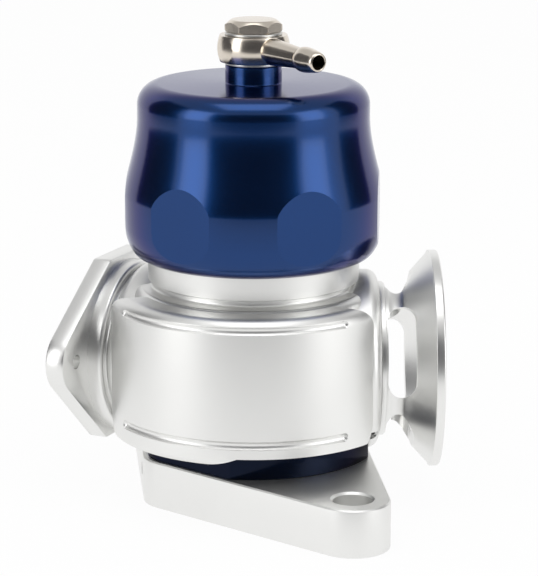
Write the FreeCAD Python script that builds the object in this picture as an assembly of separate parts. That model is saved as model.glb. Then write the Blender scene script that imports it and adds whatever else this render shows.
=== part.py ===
import FreeCAD, Part
import math
import os

# Piston blow-off valve: two outlets at the sides, inlet flange below, signal hose fitting on top.
# Millimetres, +Z up, z = 0 on the underside of the inlet flange, X = Y = 0 on the valve axis, front panel towards -Y.

V = FreeCAD.Vector
os.makedirs("parts", exist_ok=True)

# Clearances that all pieces share
FIT = 0.05
TOUCH = 0.02
FACE_LIP = 0.03
TURN_GAP = 0.1

# Heights of the pieces, stacked along the valve axis
FLANGE_T = 10.8
SPACER_T = 6.15
PANEL_GAP = 4.0
PORT_RISE = 16.1
BODY_RISE = 17.5
PANEL_STEP = 0.4
NECK_GROOVE_H = 1.8
NECK_SHOWN = 5.5
CAP_OVERLAP = 12.3
CAP_H = 39.1
CAP_ROOF_T = 6.3
CAP_BOSS_H = 4.1
LOWER_WASHER_T = 0.7
EYE_T = 5.9
UPPER_WASHER_T = 0.6
HEAD_H = 2.8

BASE_TOP = FLANGE_T
SPACER_TOP = BASE_TOP + SPACER_T
NOTCH_TOP = SPACER_TOP + FIT
BODY_BOTTOM = BASE_TOP + PANEL_GAP
PORT_Z = BODY_BOTTOM + PORT_RISE
BODY_TOP = PORT_Z + BODY_RISE
PANEL_TOP = BODY_TOP - PANEL_STEP
NECK_BOTTOM = BODY_TOP + NECK_GROOVE_H
CAP_BOTTOM = NECK_BOTTOM + NECK_SHOWN
NECK_TOP = CAP_BOTTOM + CAP_OVERLAP
CAP_TOP = CAP_BOTTOM + CAP_H
CAP_ROOF = CAP_TOP - CAP_ROOF_T
BOSS_TOP = CAP_TOP + CAP_BOSS_H
EYE_BOTTOM = BOSS_TOP + LOWER_WASHER_T
EYE_TOP = EYE_BOTTOM + EYE_T
HEAD_BOTTOM = EYE_TOP + UPPER_WASHER_T
HEAD_TOP = HEAD_BOTTOM + HEAD_H

# Directions seen from above, degrees from +X
TRUMPET_AZ = 12.8
SIDE_AZ = 167.2
EAR_AZ = -51.0
NIPPLE_AZ = -46.5
FLAT_AZ = -53.0
HEAD_AZ = -78.5
GRUB_AZ = (61.9, 196.7)

# Inlet flange, and the blue spacer on it whose sides run parallel to those of the flange
FLANGE_HALF = 25.8
FLANGE_HOLE_R = 46.2
FLANGE_EAR_R = 8.3
FLANGE_BOLT_R = 4.3
FLANGE_CORNER_R = 9.0
FLANGE_CHAMFER = 0.8
FLANGE_EDGE = 0.3
HOLE_CHAMFER = 0.5
INLET_R = 14.5
SPIGOT_R = 20.0
SPIGOT_FIT = 0.06
SPIGOT_BOTTOM = 3.0
SOCKET_GAP = 0.2
SPACER_INSET = 1.1
SPACER_R = 28.4
SPACER_SLOT = 13.0
NOTCH_SLACK = 0.2

# Set screws: M3, with long conical points that reach into vee grooves
GRUB_R = 1.5
GRUB_SLACK = 0.03
GRUB_L = 5.2
GRUB_POINT = 1.05
GRUB_TIP_R = 0.25
GRUB_SOCKET_R = 0.8
GRUB_SOCKET_DEPTH = 1.5
PORT_GRUB_L = 3.8
PORT_GRUB_POINT = 0.9
PORT_GRUB_PLACE = 1.9
GRUB_TURNS = (-45, -135)
VEE_DEPTH = 1.4
VEE_FLOOR = 0.5
PORT_VEE_FLOOR = 0.4

# Rubber rings: thickness and the groove around it
RING_SLACK = 0.04
FACE_RING_R = 18.0
FACE_RING_W = 0.70
SPIGOT_RING_W = 0.83
CAP_RING_W = 0.74
SIDE_RING_R = 17.0
SIDE_RING_W = 0.62
PORT_RING_W = 0.52
PISTON_RING_W = 0.82

# Body
CORE_R = 27.0
CORE_TOP_ROUND = 2.5
CORE_LOW_ROUND = 2.0
PANEL_R = 33.0
PANEL_HALF_DEG = 65.0
PANEL_EDGE_R = 2.0
PANEL_CORNER_TOP = 5.0
PANEL_CORNER_LOW = 6.5
BOSS_R = 20.4
BOSS_END = 28.2
BOSS_ROUND = 2.9
NECK_R = 23.9
NECK_GROOVE_R = 22.9
NECK_FOOT_R = 25.2
BORE_R = 19.0
SEAT_STEP = 2.0
GROOVE_HALF_DEG = 49.0
GROOVE_R = 1.05
GROOVE_OUT = 0.35
GROOVE_LOW_RISE = 5.2
GROOVE_HIGH_DROP = 2.2
SIDE_BORE_R = 14.0
SIDE_PORT_R = 14.8
TRUMPET_BORE_R = 12.6
SOCKET_R = 16.5
SOCKET_DEPTH = 5.9
PORT_INNER = 5.0
FAR = 90.0

# Cap
CAP_R = 29.25
CAP_UPPER_R = 26.05
CAP_FLAT = 28.2
CAP_FLATS = 6
CAP_SKIRT_T = 5.25
CAP_WALL = 4.55
CAP_EDGE_H = 2.8
CAP_BOSS_R = 6.35
FOOT_H = 8.8
WIDE_H = 13.9
SLIM_DROP = 7.2

# Hose fitting, its bolt and washers
BOLT_R = 4.0
BOLT_HOLE_R = 4.06
BOLT_REACH = 5.8
WASHER_R = 6.4
EYE_R = 8.1
EYE_HALF = 7.55
EYE_RECESS_R = 5.3
EYE_RECESS_HALF = 1.7
NIPPLE_R = 2.2
NIPPLE_COLLAR_R = 2.9
NIPPLE_BARB_R = 2.78
NIPPLE_BORE_R = 1.6
COLLAR_END = 8.7
NIPPLE_END = 26.4
BARB_L = 7.2
HEX_AF = 11.2
HEAD_ROUND = 1.3
CROSS_R = 1.3

# Piston, its bands, the seat, the spring and what the spring pushes on
PISTON_SLACK = 0.05
PISTON_L = 41.0
PISTON_WALL = 3.35
CROWN_T = 4.0
SEAT_GAP = 0.5
CROWN_RING_IN = 13.2
CROWN_RING_OUT = 17.6
CROWN_RING_T = 1.1
BAND_W = 4.0
BAND_T = 0.95
LOWER_BAND_RISE = 6.0
UPPER_BAND_DROP = 9.5
RING_DROP = 3.4
RING_GROOVE_W = 1.9
RING_GROOVE_DEPTH = 1.65
SPRING_R = 12.6
WIRE_R = 1.15
SPRING_TURNS = 8
SEAT_PLATE_T = 2.1
SEAT_HUB_T = 2.4
SEAT_PLATE_R = 19.6
SEAT_HUB_R = 16.4
SEAT_TUBE_R = 10.4
SEAT_TUBE_WALL = 2.0
SEAT_TUBE_L = 12.0
SEAT_BORE_R = 5.0
SEAT_VENT_R = 1.5
SEAT_VENTS = 4
THRUST_T = 0.8
THRUST_W = 4.7

# Side flange, measured along the port axis from the valve axis
SIDE_HUB_R = 20.0
HUB_GAP = 0.1
SIDE_STEP = 0.6
SIDE_STEP_R = 18.4
SIDE_HUB_L = 3.6
SIDE_PLATE_T = 4.5
SIDE_EAR_S = 24.3
SIDE_EAR_R = 7.2
SIDE_TOP_FLAT = 21.6
SIDE_LOW_FLAT = 20.0
SIDE_SLOPE = 37.9
SIDE_TILT = 4.0
SIDE_CORNER_R = 2.0
SIDE_EDGE = 0.4
SIDE_BOLT_R = 1.65
SIDE_BOLT_S = 25.0
SPIGOT_LEAD = 0.6

# Trumpet, measured the same way
TRUMPET_WALL_R = 12.7
COLLAR_R = 17.6
COLLAR_T = 1.65
THROAT_R = 16.97
THROAT_L = 3.65
FLARE_L = 5.95
RIM_R = 24.7
RIM_T = 2.0
RIM_LIP = 1.4
TRUMPET_L = 13.7
MOUTH_R = 16.6
MOUTH_DEPTH = 6.0
WINDOW_PLACE = 4.65
WINDOW_W = 6.3
WINDOW_HALF = 10.2
WINDOW_TURN = 20.0
WINDOWS = 4


def save(shape, name):
    shape = shape.removeSplitter()
    shape.exportStep("parts/" + name + ".step")
    print(name, round(shape.Volume, 1), len(shape.Solids), shape.isValid())


def cyl(r, z0, z1):
    return Part.makeCylinder(r, z1 - z0, V(0, 0, z0))


def ring(r0, r1, z0, z1):
    return cyl(r1, z0, z1).cut(cyl(r0, z0 - 1, z1 + 1))


def torus(r_major, r_minor, z):
    return Part.makeTorus(r_major, r_minor, V(0, 0, z))


def outline(segs):
    # ("L", end) for a straight line, ("A", via, end) for an arc, ("S", points) for a smooth curve
    edges = []
    here = V(*segs[0])
    first = here
    for seg in segs[1:]:
        if seg[0] == "L":
            to = V(*seg[1])
            edges.append(Part.makeLine(here, to))
        elif seg[0] == "A":
            to = V(*seg[2])
            edges.append(Part.Arc(here, V(*seg[1]), to).toShape())
        else:
            pts = [here] + [V(*p) for p in seg[1]]
            to = pts[-1]
            curve = Part.BSplineCurve()
            curve.interpolate(pts)
            edges.append(curve.toShape())
        here = to
    if here.distanceToPoint(first) > 1e-6:
        edges.append(Part.makeLine(here, first))
    return Part.Wire(edges)


def turned(pts):
    # profile in (radius, height), with optional arcs and curves, turned about the Z axis
    segs = [(pts[0][0], 0, pts[0][1])]
    for p in pts[1:]:
        if isinstance(p[0], str) and p[0] == "A":
            segs.append(("A", (p[1][0], 0, p[1][1]), (p[2][0], 0, p[2][1])))
        elif isinstance(p[0], str):
            segs.append(("S", [(q[0], 0, q[1]) for q in p[1]]))
        else:
            segs.append(("L", (p[0], 0, p[1])))
    face = Part.Face(outline(segs))
    return face.revolve(V(0, 0, 0), V(0, 0, 1), 360)


def port(shape, az):
    # local Z becomes the outward port axis, local Y stays up
    a = math.radians(az)
    m = FreeCAD.Matrix(-math.sin(a), 0, math.cos(a), 0, math.cos(a), 0, math.sin(a), 0, 0, 1, 0, PORT_Z, 0, 0, 0, 1)
    out = shape.copy()
    out.Placement = FreeCAD.Placement(m).multiply(out.Placement)
    return out


def spin(shape, deg):
    out = shape.copy()
    out.rotate(V(0, 0, 0), V(0, 0, 1), deg)
    return out


def radial(shape, az, z):
    # local Z becomes a level direction at azimuth az through the valve axis at height z
    out = shape.copy()
    out.rotate(V(0, 0, 0), V(0, 1, 0), 90)
    out.rotate(V(0, 0, 0), V(0, 0, 1), az)
    out.translate(V(0, 0, z))
    return out


def round_over(r, z, size, direction):
    # an arc in a profile from a side at radius r to an end face at height z, with direction +1 for a top edge
    mid = size * (1 - 1 / math.sqrt(2))
    return [(r, z - direction * size), ("A", (r - mid, z - direction * mid), (r - size, z))]


def set_screw(tip, length, point):
    # socket set screw along +Z with a conical point that starts at height "tip"
    r = GRUB_R - GRUB_SLACK
    screw = cyl(r, tip + point, tip + length).fuse(Part.makeCone(GRUB_TIP_R, r, point, V(0, 0, tip)))
    corners = []
    for i in range(7):
        a = math.radians(60 * i)
        corners.append(V(GRUB_SOCKET_R * math.cos(a), GRUB_SOCKET_R * math.sin(a), 0))
    socket = Part.Face(Part.makePolygon(corners)).extrude(V(0, 0, GRUB_SOCKET_DEPTH + 1))
    socket.translate(V(0, 0, tip + length - GRUB_SOCKET_DEPTH))
    return screw.cut(socket)


def vee_groove(r, place, floor, slope):
    # groove round a spigot of radius r for the points of set screws, with its middle at "place"
    bottom = r - VEE_DEPTH
    half = floor + (VEE_DEPTH + 0.5) * slope
    out = r + 0.5
    return turned([(bottom, place - floor), (out, place - half), (out, place + half), (bottom, place + floor)])


def upright_edges(shape):
    return [e for e in shape.Edges if abs(e.tangentAt(e.FirstParameter).z) > 0.99]


def edge_at(shape, z, tol=1e-4):
    return [e for e in shape.Edges if all(abs(v.Z - z) < tol for v in e.Vertexes)
            and abs(e.BoundBox.ZMax - z) < 1e-3 and abs(e.BoundBox.ZMin - z) < 1e-3]


def rhombus(half, hole, ear, corner, turn, z0, z1):
    # two-ear flange outline: straight sides tangent to both ears and at "half" from the centre
    beta = math.asin((half - ear) / hole)
    tip = half / math.sin(beta)
    side = half / math.cos(beta)
    pts = [V(tip, 0, z0), V(0, side, z0), V(-tip, 0, z0), V(0, -side, z0), V(tip, 0, z0)]
    body = Part.Face(Part.makePolygon(pts)).extrude(V(0, 0, z1 - z0))
    ears = [e for e in upright_edges(body) if abs(e.Vertexes[0].X) > abs(e.Vertexes[0].Y)]
    body = body.makeFillet(ear, ears)
    corners = [e for e in upright_edges(body) if abs(e.Vertexes[0].X) < 1.0]
    body = body.makeFillet(corner, corners)
    return spin(body, turn)


def spacer_sides(slack, z0, z1):
    # sides parallel to those of the inlet flange, shared by the blue spacer and the notch that receives it
    inset = SPACER_INSET - slack
    return rhombus(FLANGE_HALF - inset, FLANGE_HOLE_R, FLANGE_EAR_R - inset, FLANGE_CORNER_R - inset, EAR_AZ, z0, z1)


def wedge(half_deg, z0, z1):
    # sector in front of the axis, "half_deg" to each side of -Y
    half = math.radians(half_deg)
    pts = [V(0, 0, z0), V(-FAR * math.sin(half), -FAR * math.cos(half), z0), V(0, -2 * FAR, z0),
           V(FAR * math.sin(half), -FAR * math.cos(half), z0), V(0, 0, z0)]
    return Part.Face(Part.makePolygon(pts)).extrude(V(0, 0, z1 - z0))


def at_port_screws(shape, az):
    # the shape, standing along local Z, at the two screw places of a port boss, both on its lower side
    out = []
    for turn in GRUB_TURNS:
        one = shape.copy()
        one.rotate(V(0, 0, 0), V(0, 1, 0), 90)
        one.rotate(V(0, 0, 0), V(0, 0, 1), turn)
        one.translate(V(0, 0, PORT_SCREW))
        out.append(port(one, az))
    return out


# Places that several pieces share
GRUB_Z = BASE_TOP / 2
FACE_GROOVE = FACE_RING_W + RING_SLACK
SEAT_FLOOR = BODY_BOTTOM - 1.3
SEAT_LEDGE = SEAT_FLOOR + SEAT_STEP
SEAT_TOP = SEAT_LEDGE + SEAT_GAP
SEAT_R = 17.0
PISTON_BOTTOM = SEAT_TOP
PISTON_TOP = PISTON_BOTTOM + PISTON_L
PISTON_R = BORE_R - PISTON_SLACK
CROWN_TOP = PISTON_BOTTOM + CROWN_T
SOCKET_FLOOR = BOSS_END - SOCKET_DEPTH
PORT_SCREW = BOSS_END - PORT_GRUB_PLACE
PORT_SPIGOT_R = SOCKET_R - FIT
PORT_SPIGOT_END = SOCKET_FLOOR + 0.3
PORT_RING_PLACE = PORT_SPIGOT_END + 1.0
PORT_RING_R = SOCKET_R - PORT_RING_W - 0.03
SIDE_HUB_START = BOSS_END + HUB_GAP + SIDE_STEP
SIDE_PLATE_START = SIDE_HUB_START + SIDE_HUB_L
SIDE_PLATE_END = SIDE_PLATE_START + SIDE_PLATE_T
SPIGOT_RING_Z = SPIGOT_BOTTOM + 5.8
SPIGOT_RING_R = SPIGOT_R + SPIGOT_FIT - SPIGOT_RING_W - 0.08
CAP_INNER_R = CAP_R - CAP_SKIRT_T
CAP_CAVITY_R = CAP_UPPER_R - CAP_WALL
CAP_RING_Z = CAP_BOTTOM + 4.3
CAP_RING_R = CAP_INNER_R - CAP_RING_W - 0.06
SEAT_PLATE_TOP = CAP_ROOF - TOUCH
SEAT_PLATE_LOW = SEAT_PLATE_TOP - SEAT_PLATE_T
SEAT_HUB_LOW = SEAT_PLATE_LOW - SEAT_HUB_T
THRUST_TOP = SEAT_HUB_LOW - TOUCH
SPRING_TOP = THRUST_TOP - THRUST_T

# Inlet flange with its two bolt holes, socket for the body and face seal groove
base = rhombus(FLANGE_HALF, FLANGE_HOLE_R, FLANGE_EAR_R, FLANGE_CORNER_R, 0, 0, BASE_TOP)
base = base.makeChamfer(FLANGE_CHAMFER, edge_at(base, BASE_TOP))
base = base.makeChamfer(FLANGE_EDGE, edge_at(base, 0))
for sign in (-1, 1):
    place = sign * FLANGE_HOLE_R
    base = base.cut(Part.makeCylinder(FLANGE_BOLT_R, BASE_TOP + 2, V(place, 0, -1)))
    base = base.cut(Part.makeCone(FLANGE_BOLT_R, FLANGE_BOLT_R + HOLE_CHAMFER, HOLE_CHAMFER,
                                  V(place, 0, BASE_TOP - HOLE_CHAMFER)))
base = spin(base, EAR_AZ)
base = base.cut(cyl(INLET_R, -1, BASE_TOP + 1))
base = base.cut(cyl(SPIGOT_R + SPIGOT_FIT, SPIGOT_BOTTOM - SOCKET_GAP, BASE_TOP + 1))
base = base.cut(ring(FACE_RING_R - 2 * FACE_RING_W, FACE_RING_R + 2 * FACE_RING_W, -1, 2 * FACE_GROOVE - FACE_LIP))
for az in GRUB_AZ:
    base = base.cut(radial(cyl(GRUB_R, SPIGOT_R - 2, FLANGE_HALF + FLANGE_EAR_R), az, GRUB_Z))
save(base, "base_flange")
save(torus(FACE_RING_R, FACE_RING_W, FACE_RING_W + FACE_LIP), "base_face_seal")
base_screw = set_screw(SPIGOT_R - VEE_DEPTH + 0.25, GRUB_L, GRUB_POINT)
save(Part.Compound([radial(base_screw, az, GRUB_Z) for az in GRUB_AZ]), "base_grub_screws")

# Body: core with rounded ends
core = turned([(0, BODY_BOTTOM), (CORE_R - CORE_LOW_ROUND, BODY_BOTTOM),
               ("A", (CORE_R - 0.3 * CORE_LOW_ROUND, BODY_BOTTOM + 0.3 * CORE_LOW_ROUND),
                (CORE_R, BODY_BOTTOM + CORE_LOW_ROUND))]
              + round_over(CORE_R, BODY_TOP, CORE_TOP_ROUND, 1) + [(0, BODY_TOP)])

# Front panel: a curved slab with rounded corners, and a rounded rim along its outer face
panel = ring(CORE_R - 6, PANEL_R, BODY_BOTTOM, PANEL_TOP).common(wedge(PANEL_HALF_DEG, BODY_BOTTOM - 1, PANEL_TOP + 1))
for side in (-1, 1):
    for radius, edge_z, up in ((PANEL_CORNER_TOP, PANEL_TOP, V(0, 0, 1)), (PANEL_CORNER_LOW, BODY_BOTTOM, V(0, 0, -1))):
        a = math.radians(-90 + side * PANEL_HALF_DEG)
        out_dir = V(math.cos(a), math.sin(a), 0)
        along = V(-math.sin(a) * side, math.cos(a) * side, 0)
        corner = V(0, 0, edge_z) + out_dir * (CORE_R - 7)
        p1 = corner - along * radius
        p2 = corner - up * radius
        mid = corner - (along + up) * (radius * (1 - 1 / math.sqrt(2)))
        q1 = p2 + along * 3
        q2 = corner + along * 3 + up * 3
        q3 = p1 + up * 3
        rim = Part.Wire([Part.makeLine(p2, q1), Part.makeLine(q1, q2), Part.makeLine(q2, q3), Part.makeLine(q3, p1),
                         Part.Arc(p1, mid, p2).toShape()])
        panel = panel.cut(Part.Face(rim).extrude(out_dir * (PANEL_R - CORE_R + 20)))
rim_edges = []
for e in panel.Edges:
    pts = [e.valueAt(e.FirstParameter + (e.LastParameter - e.FirstParameter) * k / 4) for k in range(5)]
    if all(abs(math.hypot(q.x, q.y) - PANEL_R) < 1e-3 for q in pts):
        rim_edges.append(e)
panel = panel.makeFillet(PANEL_EDGE_R, rim_edges)

# Port bosses, the notch that the spacer sits in, the neck and the spigot
boss = turned([(0, 0), (BOSS_R, 0)] + round_over(BOSS_R, BOSS_END, BOSS_ROUND, 1) + [(0, BOSS_END)])
notch = spacer_sides(NOTCH_SLACK, BODY_BOTTOM - 5, NOTCH_TOP)
body = core.fuse(panel).cut(notch)
body = body.fuse([port(boss, TRUMPET_AZ), port(boss, SIDE_AZ)])
body = body.cut(cyl(FLANGE_HOLE_R, 0, BASE_TOP + TURN_GAP))
foot_z = BODY_TOP - PANEL_STEP - 0.2
neck = turned([(0, foot_z - 2), (NECK_FOOT_R, foot_z - 2), (NECK_FOOT_R, foot_z),
               ("A", (NECK_GROOVE_R + 0.7, BODY_TOP + 0.1), (NECK_GROOVE_R, BODY_TOP + 1.2)),
               (NECK_GROOVE_R, NECK_BOTTOM), (NECK_R - 0.25, NECK_BOTTOM), (NECK_R, NECK_BOTTOM + 0.25),
               (NECK_R, NECK_TOP - 0.6), (NECK_R - 0.6, NECK_TOP), (0, NECK_TOP)])
spigot = turned([(0, SPIGOT_BOTTOM), (SPIGOT_R - 0.5, SPIGOT_BOTTOM), (SPIGOT_R, SPIGOT_BOTTOM + 0.5),
                 (SPIGOT_R, NOTCH_TOP + 1), (0, NOTCH_TOP + 1)])
spigot = spigot.cut(ring(SPIGOT_RING_R - SPIGOT_RING_W - 0.02, SPIGOT_R + 1, SPIGOT_RING_Z - SPIGOT_RING_W - 0.07,
                         SPIGOT_RING_Z + SPIGOT_RING_W + 0.07))
spigot = spigot.cut(vee_groove(SPIGOT_R, GRUB_Z, VEE_FLOOR, 0.84))
body = body.fuse(neck).fuse(spigot)

# Bores: the piston's, the seat's and the inlet's, then both ports with their sockets
body = body.cut(cyl(BORE_R, SEAT_LEDGE, NECK_TOP + 1))
body = body.cut(cyl(SEAT_R + TOUCH, SEAT_FLOOR, SEAT_TOP))
body = body.cut(cyl(INLET_R, 0, SEAT_TOP))
for az, bore_r in ((SIDE_AZ, SIDE_PORT_R), (TRUMPET_AZ, TRUMPET_BORE_R)):
    body = body.cut(port(cyl(bore_r, PORT_INNER, BOSS_END + 5), az))
    body = body.cut(port(cyl(SOCKET_R, SOCKET_FLOOR, BOSS_END + 5), az))
    body = body.cut(port(Part.makeCone(SOCKET_R, SOCKET_R + HOLE_CHAMFER, HOLE_CHAMFER,
                                       V(0, 0, BOSS_END - HOLE_CHAMFER)), az))
    for hole in at_port_screws(cyl(GRUB_R, SOCKET_R - 1.5, BOSS_R + 3), az):
        body = body.cut(hole)
body = body.cut(ring(CAP_RING_R - CAP_RING_W - 0.06, NECK_R + 2, CAP_RING_Z - 1, CAP_RING_Z + 1))

# Two fine grooves with round ends across the panel
groove_r = PANEL_R + GROOVE_OUT
half_groove = math.radians(GROOVE_HALF_DEG)
for z in (BODY_BOTTOM + GROOVE_LOW_RISE, PANEL_TOP - GROOVE_HIGH_DROP):
    body = body.cut(torus(groove_r, GROOVE_R, z).common(wedge(GROOVE_HALF_DEG, z - 3, z + 3)))
    for side in (-1, 1):
        end = V(groove_r * math.sin(half_groove) * side, -groove_r * math.cos(half_groove), z)
        body = body.cut(Part.makeSphere(GROOVE_R, end))
save(body, "valve_body")
port_screw = set_screw(PORT_SPIGOT_R - 0.7, PORT_GRUB_L, PORT_GRUB_POINT)
save(Part.Compound(at_port_screws(port_screw, SIDE_AZ)), "side_grub_screws")
save(Part.Compound(at_port_screws(port_screw, TRUMPET_AZ)), "trumpet_grub_screws")
save(torus(SPIGOT_RING_R, SPIGOT_RING_W, SPIGOT_RING_Z), "spigot_seal")

# Seat ring in the mouth of the bore
seat_in = INLET_R - 0.4
save(turned([(seat_in, SEAT_FLOOR + TOUCH), (SEAT_R, SEAT_FLOOR + TOUCH), (SEAT_R, SEAT_TOP - 0.4),
             (SEAT_R - 0.6, SEAT_TOP), (seat_in + 1.1, SEAT_TOP), (seat_in, SEAT_TOP - 0.7)]), "seat_ring")

# Blue spacer between the flange and the body, in two halves that meet under the port bosses
spacer = spacer_sides(0, BASE_TOP + TOUCH, SPACER_TOP)
spacer = spacer.common(ring(SPIGOT_R + FIT, SPACER_R, BASE_TOP - 1, SPACER_TOP + 1))
for az in (TRUMPET_AZ, SIDE_AZ):
    spacer = spacer.cut(port(cyl(BOSS_R + FIT, PORT_INNER, BOSS_END + 10), az))
    slot = Part.makeBox(SPACER_SLOT, PORT_Z, BOSS_END, V(-SPACER_SLOT / 2, -PORT_Z, 8))
    spacer = spacer.cut(port(slot, az))
halves = sorted(spacer.Solids, key=lambda q: q.CenterOfMass.y)
save(halves[0], "spacer_front")
save(halves[-1], "spacer_rear")

# Cap: foot, shoulder, waist and flat top with a small boss, cut by the wrench flats
foot = [(CAP_R - 0.35, 3.7), (CAP_R - 0.1, 5.9), (CAP_R, FOOT_H)]
waist_low = CAP_BOTTOM + WIDE_H
waist_high = CAP_TOP - SLIM_DROP
waist = []
for k in (1, 2.5, 4, 5.5, 7, 8.5, 10):
    t = (k / 10) ** 0.8
    waist.append((CAP_R - (CAP_R - CAP_UPPER_R) * t * t * (3 - 2 * t), waist_low + (waist_high - waist_low) * k / 10))
cap = turned([(CAP_INNER_R, CAP_BOTTOM), (CAP_R - 2.8, CAP_BOTTOM),
              ("A", (CAP_R - 1.35, CAP_BOTTOM + 0.65), (CAP_R - 0.7, CAP_BOTTOM + 1.9)),
              ("S", [(r, CAP_BOTTOM + h) for r, h in foot]), (CAP_R, waist_low), ("S", waist),
              (CAP_UPPER_R, CAP_TOP - CAP_EDGE_H),
              ("A", (CAP_UPPER_R - 0.3 * CAP_EDGE_H, CAP_TOP - 0.3 * CAP_EDGE_H), (CAP_UPPER_R - CAP_EDGE_H, CAP_TOP)),
              (CAP_BOSS_R, CAP_TOP), (CAP_BOSS_R, BOSS_TOP - 0.4), (CAP_BOSS_R - 0.4, BOSS_TOP),
              (BOLT_HOLE_R, BOSS_TOP), (BOLT_HOLE_R, CAP_ROOF)]
             + [(CAP_CAVITY_R - 2, CAP_ROOF), ("A", (CAP_CAVITY_R - 0.6, CAP_ROOF - 0.6), (CAP_CAVITY_R, CAP_ROOF - 2)),
                (CAP_CAVITY_R, NECK_TOP + 0.4), (CAP_INNER_R, NECK_TOP + 0.4)])
for i in range(CAP_FLATS):
    plane = Part.makeBox(CAP_R, 2 * CAP_R, CAP_H, V(CAP_FLAT, -CAP_R, CAP_BOTTOM - 2))
    cap = cap.cut(spin(plane, FLAT_AZ + 360 / CAP_FLATS * i))
save(cap, "cap")
save(torus(CAP_RING_R, CAP_RING_W, CAP_RING_Z), "cap_seal")

# Spring seat and thrust washer under the roof of the cap
seat_top = turned([(SEAT_BORE_R, SEAT_HUB_LOW), (SEAT_HUB_R, SEAT_HUB_LOW), (SEAT_HUB_R, SEAT_PLATE_LOW),
                   (SEAT_PLATE_R, SEAT_PLATE_LOW), (SEAT_PLATE_R, SEAT_PLATE_TOP), (SEAT_BORE_R, SEAT_PLATE_TOP)])
seat_top = seat_top.fuse(ring(SEAT_TUBE_R - SEAT_TUBE_WALL, SEAT_TUBE_R, SEAT_HUB_LOW - SEAT_TUBE_L, SEAT_HUB_LOW + 0.5))
vent_place = (SEAT_BORE_R + SEAT_TUBE_R - SEAT_TUBE_WALL) / 2 + 0.3
for i in range(SEAT_VENTS):
    a = 2 * math.pi * i / SEAT_VENTS
    vent = Part.makeCylinder(SEAT_VENT_R, SEAT_PLATE_T + SEAT_HUB_T + 2,
                             V(vent_place * math.cos(a), vent_place * math.sin(a), SEAT_HUB_LOW - 1))
    seat_top = seat_top.cut(vent)
save(seat_top, "spring_seat")
save(ring(SEAT_TUBE_R + 0.1, SEAT_TUBE_R + 0.1 + THRUST_W, SPRING_TOP + TOUCH, THRUST_TOP), "thrust_washer")

# Piston: closed crown below, open above, bands and seal near its ends
inner_r = PISTON_R - PISTON_WALL
ring_floor = PISTON_BOTTOM + CROWN_RING_T
piston = turned([(0, PISTON_BOTTOM + 1.0), (CROWN_RING_IN - 1.0, PISTON_BOTTOM + 1.0),
                 (CROWN_RING_IN - 0.4, PISTON_BOTTOM), (CROWN_RING_IN, PISTON_BOTTOM), (CROWN_RING_IN, ring_floor),
                 (CROWN_RING_OUT, ring_floor), (CROWN_RING_OUT, PISTON_BOTTOM), (PISTON_R - 0.65, PISTON_BOTTOM),
                 (PISTON_R, PISTON_BOTTOM + 0.65), (PISTON_R, PISTON_TOP - 0.5), (PISTON_R - 0.5, PISTON_TOP),
                 (inner_r, PISTON_TOP), (inner_r, CROWN_TOP + 2),
                 ("A", (inner_r - 0.6, CROWN_TOP + 0.6), (inner_r - 2, CROWN_TOP)), (0, CROWN_TOP)])
BAND_Z = (PISTON_BOTTOM + LOWER_BAND_RISE, PISTON_TOP - UPPER_BAND_DROP)
band_in = PISTON_R - BAND_T
for z in BAND_Z:
    piston = piston.cut(ring(band_in, BORE_R + 1, z, z + BAND_W))
ring_low = PISTON_TOP - RING_DROP
piston = piston.cut(ring(PISTON_R - RING_GROOVE_DEPTH, BORE_R + 1, ring_low, ring_low + RING_GROOVE_W))
save(piston, "piston")
for z, name in zip(BAND_Z, ("lower_band", "upper_band")):
    save(ring(band_in + TOUCH, PISTON_R + 0.01, z + FACE_LIP, z + BAND_W - FACE_LIP), name)
save(torus(BORE_R - PISTON_RING_W - FIT, PISTON_RING_W, ring_low + RING_GROOVE_W / 2), "piston_seal")
save(ring(CROWN_RING_IN + TOUCH, CROWN_RING_OUT - TOUCH, PISTON_BOTTOM, ring_floor - TOUCH), "crown_seal")

# Compression spring between the crown and the thrust washer
spring_lo = CROWN_TOP + WIRE_R + TOUCH
spring_hi = SPRING_TOP - WIRE_R - TOUCH
helix = Part.makeHelix((spring_hi - spring_lo) / SPRING_TURNS, spring_hi - spring_lo, SPRING_R)
helix.translate(V(0, 0, spring_lo))
section = Part.Wire([Part.makeCircle(WIRE_R, V(SPRING_R, 0, spring_lo), V(0, 1, 0))])
save(Part.Wire(helix.Edges).makePipeShell([section], True, True), "spring")

# What both outlet pieces have on their spigots: a vee for the set screws and a groove for the seal
port_vee = vee_groove(PORT_SPIGOT_R, PORT_SCREW, PORT_VEE_FLOOR, 0.85)
port_ring = ring(PORT_RING_R - PORT_RING_W - 0.02, SOCKET_R + 1.5, PORT_RING_PLACE - 0.7, PORT_RING_PLACE + 0.7)


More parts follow.
